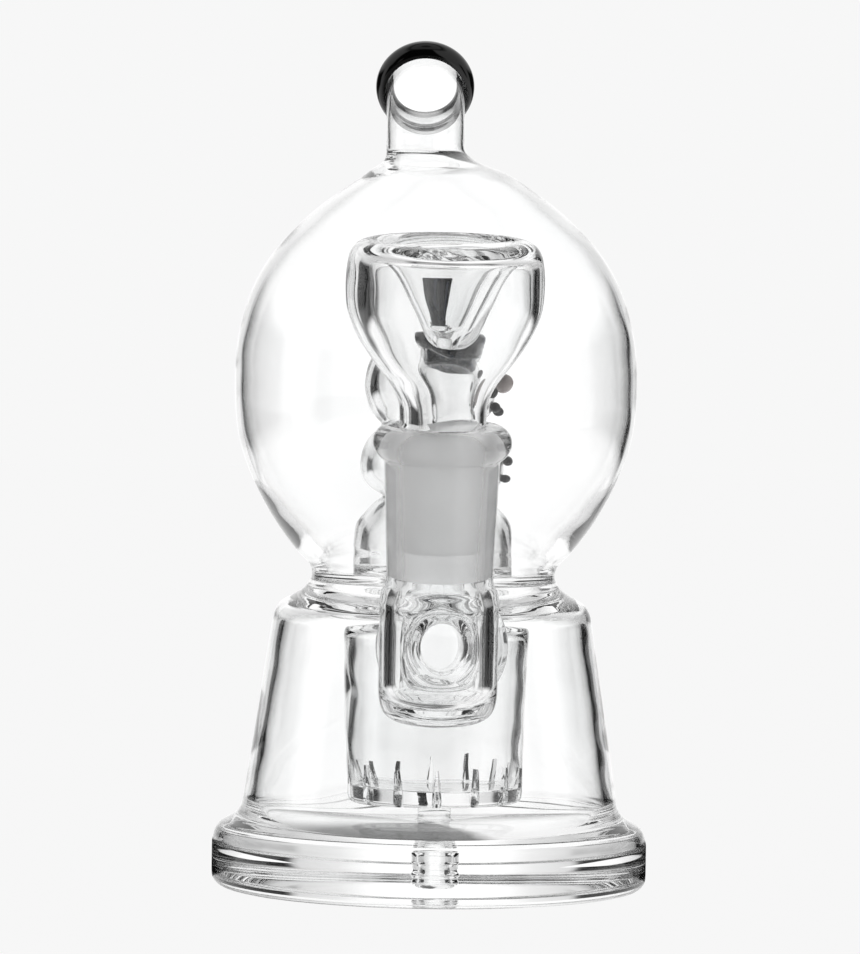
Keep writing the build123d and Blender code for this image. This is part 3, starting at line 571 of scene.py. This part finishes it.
BOWL = ["bowl_joint", "bowl_neck", "bowl_bulb", "bowl_rim", "bowl_funnel"]
c, nrm = face_data(bowl.data)
rho, sj = joint_coords(c)
lab = np.full(len(c), 2)
lab[sj > 66.0] = 3
funnel_edge = np.interp(sj, [52.0, 55.6, 66.0], [6.0, 6.0, 10.9])
lab[(sj <= 66.0) & (sj > 52.2) & (rho < funnel_edge)] = 4
lab[(sj <= 42.6)] = 1
lab[(sj <= 38.6)] = 0
bowl_pieces = split(bowl, lab, BOWL)


# ----------------------------------------------------------------------------
# Opaque coloured glass: lip, hat, beads
# ----------------------------------------------------------------------------
def solid(name, parts, frame_fn, segs=160, soft=0.15, wob=None, closed=False):
    o = make(name, *turn(profile(parts, closed=closed, soft=soft, fine=0.16, coarse=0.5), frame_fn, segs=segs,
                         closed=closed, wob=wob))
    o.data.shade_smooth()
    return o


E0, U0, V0 = frame_main(TUBE_END_S)
D0 = np.cross(U0, V0)


def frame_mouth(s):
    return E0 + D0 * s, U0, V0


lip = solid("mouth_lip", [
    ([(6.25, 0.03), (6.25, 1.0)], 0),
    ([(6.25, 1.0), (6.4, 1.7), (6.9, 2.0)], 0),
    ([(6.9, 2.0), (7.4, 2.0), (8.25, 1.45), (8.8, 0.4), (8.9, -0.9), (8.6, -2.1), (7.95, -2.9), (7.14, -3.15)], 0),
    ([(7.14, -3.15), (7.14, 0.03)], 0),
    ([(7.14, 0.03), (6.25, 0.03)], 0)], frame_mouth, closed=True, soft=0.06,
    wob=lambda th, s, r, tag: wobble(th, s, 61, 0.06) if r > 7.4 else 0.0)

HX = -1.0


def frame_hat(s):
    return np.array([HX, 0, s]), np.array([1.0, 0, 0]), np.array([0, 1.0, 0])


brim = solid("hat_brim", [
    ([(6.9, 98.36), (8.0, 97.72), (9.2, 97.62), (9.75, 98.1), (9.72, 98.8), (9.2, 99.25), (6.7, 99.3)], 0),
    ([(6.7, 99.3), (5.2, 99.3), (5.2, 99.2)], 0),
    ([(5.2, 99.2), (6.9, 98.36)], 0)], frame_hat, closed=True, soft=0.1,
    wob=lambda th, s, r, tag: wobble(th, s, 67, 0.12) if r > 8.6 else 0.0)
crown = solid("hat_crown", [
    ([(0, 100.04), (3.4, 99.7), (5.0, 99.32)], 0),
    ([(5.0, 99.32), (6.08, 99.32), (6.08, 101.9), (6.3, 101.95)], 0),
    ([(6.3, 101.95), (6.55, 104.2), (7.0, 107.4), (7.05, 108.2), (6.6, 108.6)], 0),
    ([(6.6, 108.6), (0, 108.75)], 0)], frame_hat,
    wob=lambda th, s, r, tag: wobble(th, s, 71, 0.12) if r > 6.2 else 0.0)
band = solid("hat_band", [
    ([(6.12, 99.32), (6.6, 99.32), (6.8, 99.7), (6.8, 101.5), (6.65, 101.85), (6.12, 101.88)], 0),
    ([(6.12, 101.88), (6.12, 99.32)], 0)], frame_hat, closed=True, soft=0.05,
    wob=lambda th, s, r, tag: wobble(th, s, 73, 0.05) if r > 6.4 else 0.0)


def beads(name, centres, radius, seed):
    """Small fused balls, a little flattened where they were pressed on, each slightly different."""
    verts, faces = [], []
    rng = np.random.RandomState(seed)
    for cx, cy, cz in centres:
        bm = bmesh.new()
        bmesh.ops.create_icosphere(bm, subdivisions=4, radius=1.0)
        k = rng.uniform(-0.06, 0.06, 6)
        base = len(verts)
        for v in bm.verts:
            p = np.array(v.co)
            q = 1 + k[0] * p[0] * p[1] + k[1] * p[2] * p[1] + k[2] * p[0] * p[2] + k[3] * (p[2] ** 2 - 0.33)
            p = p * q * radius
            verts.append((cx + p[0], cy + p[1], cz + p[2]))
        faces += [tuple(base + v.index for v in f.verts) for f in bm.faces]
        bm.free()
    o = make(name, verts, faces)
    o.data.shade_smooth()
    return o


nose = beads("nose_bead", [(12.05, 0, 90.0)], 1.78, 81)
eyes = beads("eye_beads", [(8.75, -5.45, 94.3), (8.75, 5.45, 94.3)], 1.08, 82)
mouth = beads("mouth_beads", [(9.85, -6.1, 88.4), (10.45, -4.1, 85.8), (11.2, 0, 85.0), (10.45, 4.1, 85.8),
                              (9.85, 6.1, 88.4)], 0.98, 83)
buttons = beads("button_beads", [(13.05, 0, 76.4), (12.65, 0, 72.7)], 0.93, 84)


# ----------------------------------------------------------------------------
# Materials
# ----------------------------------------------------------------------------
def new_material(name):
    m = bpy.data.materials.new(name)
    m.use_nodes = True
    nt = m.node_tree
    b = nt.nodes["Principled BSDF"]
    return m, nt, b


def noise(nt, scale, detail=2.0, rough=0.5, coords=None):
    n = nt.nodes.new("ShaderNodeTexNoise")
    n.inputs["Scale"].default_value = scale
    n.inputs["Detail"].default_value = detail
    n.inputs["Roughness"].default_value = rough
    if coords:
        nt.links.new(coords, n.inputs["Vector"])
    return n


def ramp(nt, fac, stops):
    r_ = nt.nodes.new("ShaderNodeValToRGB")
    r_.color_ramp.elements[0].position, r_.color_ramp.elements[0].color = stops[0]
    r_.color_ramp.elements[1].position, r_.color_ramp.elements[1].color = stops[1]
    for pos, col in stops[2:]:
        e = r_.color_ramp.elements.new(pos)
        e.color = col
    nt.links.new(fac, r_.inputs["Fac"])
    return r_


def bump(nt, height, strength, distance, normal=None):
    b = nt.nodes.new("ShaderNodeBump")
    b.inputs["Strength"].default_value = strength
    b.inputs["Distance"].default_value = distance
    nt.links.new(height, b.inputs["Height"])
    if normal:
        nt.links.new(normal, b.inputs["Normal"])
    return b


def grey(v):
    return (v, v, v, 1)


def glass_clear():
    m, nt, b = new_material("clear_borosilicate")
    b.inputs["Transmission Weight"].default_value = 1.0
    b.inputs["IOR"].default_value = 1.47
    tc = nt.nodes.new("ShaderNodeTexCoord")
    wave = noise(nt, 38.0, 1.0, 0.4, tc.outputs["Object"])
    fine = noise(nt, 420.0, 2.0, 0.5, tc.outputs["Object"])
    tint = ramp(nt, wave.outputs["Fac"], [(0.3, (0.985, 0.99, 0.99, 1)), (0.7, (1, 1, 1, 1))])
    # painted shade: the glass colour is darkened where it is seen at a slant, so its edges come out dark; this is
    # multiplied into the random tint
    edge = nt.nodes.new("ShaderNodeLayerWeight")
    edge.inputs["Blend"].default_value = 0.5
    painted_edge_shade = ramp(nt, edge.outputs["Facing"], [(0.0, grey(1.0)), (0.70, grey(1.0)), (0.85, grey(0.62)), (1.0, grey(0.5))])
    tint_and_edge_shade = nt.nodes.new("ShaderNodeMix")
    tint_and_edge_shade.data_type = "RGBA"
    tint_and_edge_shade.blend_type = "MULTIPLY"
    tint_and_edge_shade.inputs[0].default_value = 1.0
    nt.links.new(tint.outputs["Color"], tint_and_edge_shade.inputs[6])
    nt.links.new(painted_edge_shade.outputs["Color"], tint_and_edge_shade.inputs[7])
    nt.links.new(tint_and_edge_shade.outputs[2], b.inputs["Base Color"])
    rg = ramp(nt, fine.outputs["Fac"], [(0.45, grey(0.0)), (0.85, grey(0.012))])
    nt.links.new(rg.outputs["Color"], b.inputs["Roughness"])
    bp = bump(nt, wave.outputs["Fac"], 0.25, 0.00035)
    nt.links.new(bp.outputs["Normal"], b.inputs["Normal"])
    return m


def glass_ground():
    m, nt, b = new_material("ground_glass")
    b.inputs["Transmission Weight"].default_value = 1.0
    b.inputs["IOR"].default_value = 1.47
    tc = nt.nodes.new("ShaderNodeTexCoord")
    grain = noise(nt, 5200.0, 2.0, 0.6, tc.outputs["Object"])
    patch = noise(nt, 160.0, 3.0, 0.6, tc.outputs["Object"])
    rg = ramp(nt, patch.outputs["Fac"], [(0.35, grey(0.52)), (0.7, grey(0.66))])
    nt.links.new(rg.outputs["Color"], b.inputs["Roughness"])
    col = ramp(nt, patch.outputs["Fac"], [(0.3, grey(0.86)), (0.7, grey(0.93))])
    nt.links.new(col.outputs["Color"], b.inputs["Base Color"])
    bp = bump(nt, grain.outputs["Fac"], 0.4, 0.00002)
    nt.links.new(bp.outputs["Normal"], b.inputs["Normal"])
    return m


def glass_opaque(name, dark, light, rough=(0.05, 0.12), scale=120.0, low=0.35):
    m, nt, b = new_material(name)
    b.inputs["IOR"].default_value = 1.5
    tc = nt.nodes.new("ShaderNodeTexCoord")
    n = noise(nt, scale, 4.0, 0.6, tc.outputs["Object"])
    col = ramp(nt, n.outputs["Fac"], [(low, dark), (0.7, light)])
    nt.links.new(col.outputs["Color"], b.inputs["Base Color"])
    f = noise(nt, scale * 6, 2.0, 0.5, tc.outputs["Object"])
    rg = ramp(nt, f.outputs["Fac"], [(0.3, grey(rough[0])), (0.75, grey(rough[1]))])
    nt.links.new(rg.outputs["Color"], b.inputs["Roughness"])
    bp = bump(nt, n.outputs["Fac"], 0.3, 0.0001)
    nt.links.new(bp.outputs["Normal"], b.inputs["Normal"])
    return m


CLEAR = glass_clear()
GROUND = glass_ground()
def glass_lip(z_low, z_high):
    """Black glass wrapped round the upper part of the mouth and thinning out to clear below."""
    m, nt, b = new_material("lip_glass")
    tc = nt.nodes.new("ShaderNodeTexCoord")
    n = noise(nt, 150.0, 3.0, 0.6, tc.outputs["Object"])
    sep_ = nt.nodes.new("ShaderNodeSeparateXYZ")
    nt.links.new(tc.outputs["Object"], sep_.inputs[0])
    mr = nt.nodes.new("ShaderNodeMapRange")
    nt.links.new(sep_.outputs["Z"], mr.inputs["Value"])
    mr.inputs["From Min"].default_value = z_low
    mr.inputs["From Max"].default_value = z_high
    col = ramp(nt, mr.outputs["Result"], [(0.0, grey(0.98)), (1.0, grey(0.003))])
    tr = ramp(nt, mr.outputs["Result"], [(0.0, grey(1.0)), (0.9, grey(1.0)), (1.0, grey(0.0))])
    b.inputs["IOR"].default_value = 1.47
    nt.links.new(col.outputs["Color"], b.inputs["Base Color"])
    nt.links.new(tr.outputs["Color"], b.inputs["Transmission Weight"])
    rg = ramp(nt, n.outputs["Fac"], [(0.35, grey(0.03)), (0.7, grey(0.08))])
    nt.links.new(rg.outputs["Color"], b.inputs["Roughness"])
    bp = bump(nt, n.outputs["Fac"], 0.25, 0.0001)
    nt.links.new(bp.outputs["Normal"], b.inputs["Normal"])
    return m


LIP_Z = [v.co.z for v in lip.data.vertices]
LIP_LO, LIP_HI = min(LIP_Z), max(LIP_Z)
LIP = glass_lip(LIP_LO + 0.13 * (LIP_HI - LIP_LO), LIP_LO + 0.27 * (LIP_HI - LIP_LO))
BLACK = glass_opaque("black_glass", (0.002, 0.002, 0.003, 1), (0.006, 0.006, 0.007, 1))
SLATE = glass_opaque("slate_glass", (0.0005, 0.0007, 0.0014, 1), (0.045, 0.058, 0.095, 1), (0.03, 0.14), 330.0, 0.5)
NOSE = glass_opaque("nose_glass", (0.30, 0.26, 0.25, 1), (0.45, 0.40, 0.385, 1), (0.12, 0.25), 260.0)

for n_, o in pieces.items():
    o.data.materials.append(CLEAR)
    o.data.materials.append(GROUND)
    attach(o, "pipe")
    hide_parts(n_)
for n_, o in bowl_pieces.items():
    o.data.materials.append(CLEAR)
    o.data.materials.append(GROUND)
    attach(o, "bowl")
    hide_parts(n_)
for n_ in ("joint_lip", "joint_socket"):
    me = pieces[n_].data
    cc, _ = face_data(me)
    rho, sj = joint_coords(cc)
    idx = (rho < 7.5) & (sj > 13.2)
    me.polygons.foreach_set("material_index", idx.astype(np.int32))
me = bowl_pieces["bowl_joint"].data
cc, _ = face_data(me)
rho, sj = joint_coords(cc)
idx = (rho > np.interp(sj, [17.6, 38.6], [6.1, 7.15])) & (sj > 17.8)
me.polygons.foreach_set("material_index", idx.astype(np.int32))

for o, node, mat, slot_ in ((lip, "mouth_lip", LIP, "black_glass"), (brim, "hat_brim", SLATE, "hat_glass"),
                            (crown, "hat_crown", SLATE, "hat_glass"), (band, "hat_band", BLACK, "black_glass"),
                            (nose, "nose_bead", NOSE, "nose_glass"), (eyes, "eye_beads", BLACK, "black_glass"),
                            (mouth, "mouth_beads", BLACK, "black_glass"),
                            (buttons, "button_beads", BLACK, "black_glass")):
    o.data.materials.append(mat)
    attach(o, "pipe")
    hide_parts(node)

# clear glass throws no hard shadow on what stands inside it
for o in list(pieces.values()) + list(bowl_pieces.values()):
    o.visible_shadow = False
    o.visible_diffuse = False

# ----------------------------------------------------------------------------
# Floor, studio and camera
# ----------------------------------------------------------------------------
PALE = 0.9305
FLOOR_SEEN = 0.8816

# brightness of the studio by azimuth from +Y (negative toward -X), in degrees: at and above the horizon, on the
# far floor, and on the near floor seen at a slant and from above
RING_LOW = [(-180, 0.01), (-143, 0.01), (-140, 0.5), (-137, 0.5), (-134, 0.01), (-104, 0.01), (-101, 0.85),
            (-80, 0.85), (-77, 0.01), (-28.5, 0.01), (-26, 0.74), (-17, 0.87), (-10, 1.15), (10, 1.15), (17, 0.87),
            (26, 0.74), (28.5, 0.01), (78, 0.01), (81, 0.7), (100, 0.7), (103, 0.01), (112, 0.01), (116, 0.72),
            (153, 0.72), (158, 0.01), (180, 0.01)]
RING_HIGH = [(-180, 0.01), (-115, 0.01), (-105, 0.7), (-75, 0.7), (-45, 0.6), (-26, 0.76), (-17, 0.9), (-10, 1.15),
             (10, 1.15), (17, 0.9), (26, 0.76), (45, 0.6), (75, 0.65), (110, 0.72), (153, 0.74), (160, 0.01),
             (180, 0.01)]
FLOOR_FAR = [(-180, 0.01), (-104, 0.01), (-101, 0.85), (-80, 0.85), (-77, 0.01), (-28.5, 0.01), (-26, 0.90),
             (-17, 1.0), (-10, 1.1), (10, 1.1), (17, 1.0), (26, 0.90), (28.5, 0.01), (78, 0.01), (81, 0.7),
             (100, 0.7), (103, 0.01), (112, 0.01), (116, 0.72), (153, 0.72), (158, 0.01), (180, 0.01)]
FLOOR_NEAR = [(-180, 0.01), (-104, 0.01), (-101, 0.85), (-80, 0.85), (-77, 0.01), (-28.5, 0.01), (-26, 1.02),
              (-17, 1.1), (-10, 1.08), (10, 1.08), (17, 1.1), (26, 1.02), (28.5, 0.01), (78, 0.01), (81, 0.7),
              (100, 0.7), (103, 0.3), (112, 0.3), (116, 0.72), (153, 0.72), (160, 0.01), (180, 0.01)]
FLOOR_STEEP = [(-180, 0.14), (-130, 0.22), (-95, 0.95), (-30, 1.06), (30, 1.06), (85, 0.97), (153, 0.95),
               (164, 0.18), (180, 0.14)]


def stage_floor():
    n = 128
    v = [(0, 0, 0)]
    f = []
    rr = [0.05, 0.2, 0.6, 1.5, 4.0]
    for q in rr:
        v += [(q * math.cos(2 * math.pi * i / n), q * math.sin(2 * math.pi * i / n), 0) for i in range(n)]
    f += [(0, 1 + i, 1 + (i + 1) % n) for i in range(n)]
    for k in range(len(rr) - 1):
        a, b = 1 + k * n, 1 + (k + 1) * n
        f += [(a + i, b + i, b + (i + 1) % n, a + (i + 1) % n) for i in range(n)]
    me = bpy.data.meshes.new("stage_floor")
    me.from_pydata([(p[0], p[1], -0.00005) for p in v], [], f)
    o = bpy.data.objects.new("stage_floor", me)
    bpy.context.scene.collection.objects.link(o)
    m = bpy.data.materials.new("stage_floor")
    m.use_nodes = True
    nt = m.node_tree
    nt.nodes.clear()
    out = nt.nodes.new("ShaderNodeOutputMaterial")
    geo = nt.nodes.new("ShaderNodeNewGeometry")
    sp = nt.nodes.new("ShaderNodeSeparateXYZ")
    nt.links.new(geo.outputs["Position"], sp.inputs[0])

    def mn(op, a, b=None, clamp=False):
        n_ = nt.nodes.new("ShaderNodeMath")
        n_.operation = op
        n_.use_clamp = clamp
        for i_, v_ in enumerate((a, b)):
            if v_ is None:
                continue
            if isinstance(v_, (int, float)):
                n_.inputs[i_].default_value = v_
            else:
                nt.links.new(v_, n_.inputs[i_])
        return n_.outputs[0]

    def cn(fac, stops):
        n_ = nt.nodes.new("ShaderNodeValToRGB")
        els_ = n_.color_ramp.elements
        els_[0].position, els_[0].color = stops[0][0], grey(stops[0][1])
        els_[1].position, els_[1].color = stops[-1][0], grey(stops[-1][1])
        for p_, v_ in stops[1:-1]:
            e_ = els_.new(p_)
            e_.color = grey(v_)
        nt.links.new(fac, n_.inputs["Fac"])
        return n_.outputs["Color"]

    # azimuth from +Y, 0.5 = +Y, signed: 0..1 for -180..180
    phi = mn("ADD", mn("DIVIDE", mn("ARCTAN2", sp.outputs["X"], sp.outputs["Y"]), 2 * math.pi), 0.5, True)
    rad = mn("SQRT", mn("ADD", mn("MULTIPLY", sp.outputs["X"], sp.outputs["X"]),
                        mn("MULTIPLY", sp.outputs["Y"], sp.outputs["Y"])))
    near_ = cn(mn("DIVIDE", rad, 1.0, True), [(0.0, 1.0), (0.45, 1.0), (0.75, 0.0), (1.0, 0.0)])
    lw = nt.nodes.new("ShaderNodeLayerWeight")
    lw.inputs["Blend"].default_value = 0.5
    # a glowing light table, pale seen from above; at a grazing slant its glow is dimmed, a painted reflection of
    # the dark room
    steep = cn(lw.outputs["Facing"], [(0.0, 1.0), (0.75, 1.0), (0.85, 0.0), (1.0, 0.0)])
    above_ = cn(phi, [(p_ / 360 + 0.5, v_) for p_, v_ in FLOOR_STEEP])
    low_ = cn(phi, [(p_ / 360 + 0.5, v_) for p_, v_ in FLOOR_NEAR])
    far_ = cn(phi, [(p_ / 360 + 0.5, v_) for p_, v_ in FLOOR_FAR])
    m1 = nt.nodes.new("ShaderNodeMix")
    m1.data_type = "RGBA"
    nt.links.new(steep, m1.inputs[0])
    nt.links.new(low_, m1.inputs[6])
    nt.links.new(above_, m1.inputs[7])
    mx = nt.nodes.new("ShaderNodeMix")
    mx.data_type = "RGBA"
    nt.links.new(near_, mx.inputs[0])
    nt.links.new(far_, mx.inputs[6])
    nt.links.new(m1.outputs[2], mx.inputs[7])
    lp_ = nt.nodes.new("ShaderNodeLightPath")
    cm = nt.nodes.new("ShaderNodeMix")
    cm.data_type = "RGBA"
    nt.links.new(lp_.outputs["Is Camera Ray"], cm.inputs[0])
    nt.links.new(mx.outputs[2], cm.inputs[6])
    cm.inputs[7].default_value = grey(FLOOR_SEEN)
    em = nt.nodes.new("ShaderNodeEmission")
    nt.links.new(cm.outputs[2], em.inputs["Color"])
    em.inputs["Strength"].default_value = 1.0
    df = nt.nodes.new("ShaderNodeBsdfDiffuse")
    df.inputs["Color"].default_value = grey(0.10)
    add = nt.nodes.new("ShaderNodeAddShader")
    nt.links.new(em.outputs[0], add.inputs[0])
    nt.links.new(df.outputs[0], add.inputs[1])
    ms = nt.nodes.new("ShaderNodeMixShader")
    nt.links.new(lp_.outputs["Is Camera Ray"], ms.inputs[0])
    nt.links.new(em.outputs[0], ms.inputs[1])
    nt.links.new(add.outputs[0], ms.inputs[2])
    nt.links.new(ms.outputs[0], out.inputs["Surface"])
    me.materials.append(m)
    return o


floor = stage_floor()

world = bpy.data.worlds.new("studio")
bpy.context.scene.world = world
world.use_nodes = True
wt = world.node_tree
wt.nodes.clear()
w_out = wt.nodes.new("ShaderNodeOutputWorld")
w_bg = wt.nodes.new("ShaderNodeBackground")
wt.links.new(w_bg.outputs[0], w_out.inputs["Surface"])
tc = wt.nodes.new("ShaderNodeTexCoord")
sep = wt.nodes.new("ShaderNodeSeparateXYZ")
wt.links.new(tc.outputs["Generated"], sep.inputs[0])


def math_node(op, a, b=None, clamp=False):
    n = wt.nodes.new("ShaderNodeMath")
    n.operation = op
    n.use_clamp = clamp
    for i, v in enumerate((a, b)):
        if v is None:
            continue
        if isinstance(v, (int, float)):
            n.inputs[i].default_value = v
        else:
            wt.links.new(v, n.inputs[i])
    return n.outputs[0]


def curve_node(fac, stops):
    n = wt.nodes.new("ShaderNodeValToRGB")
    n.color_ramp.interpolation = "LINEAR"
    els = n.color_ramp.elements
    els[0].position, els[0].color = stops[0][0], grey(stops[0][1])
    els[1].position, els[1].color = stops[-1][0], grey(stops[-1][1])
    for p_, v in stops[1:-1]:
        e = els.new(p_)
        e.color = grey(v)
    wt.links.new(fac, n.inputs["Fac"])
    return n.outputs["Color"]


az = math_node("ADD", math_node("DIVIDE", math_node("ARCTAN2", sep.outputs["X"], sep.outputs["Y"]), 2 * math.pi),
               0.5, clamp=True)
ring = curve_node(az, [(p_ / 360 + 0.5, v_) for p_, v_ in RING_LOW])
# elevation, 0.5 at the horizon
el = math_node("ARCSINE", sep.outputs["Z"])
el = math_node("DIVIDE", el, math.pi)
el = math_node("ADD", el, 0.5, clamp=True)
high = curve_node(el, [(0.0, 0.0), (0.5 + 55 / 180, 0.0), (0.5 + 64 / 180, 1.0), (1.0, 1.0)])
top = curve_node(el, [(0.0, 0.1), (0.5 + 64 / 180, 0.1), (0.5 + 68 / 180, 0.45), (0.5 + 80 / 180, 0.45),
                      (0.5 + 84 / 180, 0.15), (1.0, 0.15)])


def mix_node(fac, a, b):
    n = wt.nodes.new("ShaderNodeMix")
    n.data_type = "RGBA"
    n.blend_type = "MIX"
    ia, ib = n.inputs[6], n.inputs[7]
    if isinstance(fac, (int, float)):
        n.inputs[0].default_value = fac
    else:
        wt.links.new(fac, n.inputs[0])
    for s_, v in ((ia, a), (ib, b)):
        if isinstance(v, tuple):
            s_.default_value = v
        else:
            wt.links.new(v, s_)
    return n.outputs[2]


ring2 = curve_node(az, [(p_ / 360 + 0.5, v_) for p_, v_ in RING_HIGH])
rise = curve_node(el, [(0.0, 0.0), (0.5 + 11.0 / 180, 0.0), (0.5 + 18.0 / 180, 1.0), (1.0, 1.0)])
body_ = mix_node(high, mix_node(rise, ring, ring2), top)
lp = wt.nodes.new("ShaderNodeLightPath")
final = mix_node(lp.outputs["Is Camera Ray"], body_, grey(PALE))
wt.links.new(final, w_bg.inputs["Color"])
w_bg.inputs["Strength"].default_value = 1.0

cam_d = bpy.data.cameras.new("camera")
cam = bpy.data.objects.new("camera", cam_d)
bpy.context.scene.collection.objects.link(cam)
cam_d.sensor_fit = "HORIZONTAL"
cam_d.sensor_width = 36.0
cam_d.lens = 192.2
cam_d.clip_start = 0.01
cam_d.clip_end = 50.0
DIST, AZ, ROLL = 0.820, math.radians(-1.4), math.radians(0.86)
target = Vector((-0.0008, 0.0, 0.0732))
pos = Vector((target.x + DIST * math.sin(AZ), -DIST * math.cos(AZ), 0.090))
fwd = (target - pos).normalized()
right = fwd.cross(Vector((0, 0, 1))).normalized()
up = right.cross(fwd)
# the camera is turned anticlockwise, so the object leans clockwise
r2 = right * math.cos(ROLL) + up * math.sin(ROLL)
u2 = up * math.cos(ROLL) - right * math.sin(ROLL)
rot = Matrix((r2, u2, -fwd)).transposed()
cam.matrix_world = Matrix.Translation(pos) @ rot.to_4x4()
bpy.context.scene.camera = cam

sc = bpy.context.scene
sc.view_settings.view_transform = "Standard"
sc.view_settings.look = "None"
sc.cycles.max_bounces = 32
sc.cycles.transmission_bounces = 32
sc.cycles.glossy_bounces = 16
sc.cycles.transparent_max_bounces = 16

bpy.context.view_layer.update()
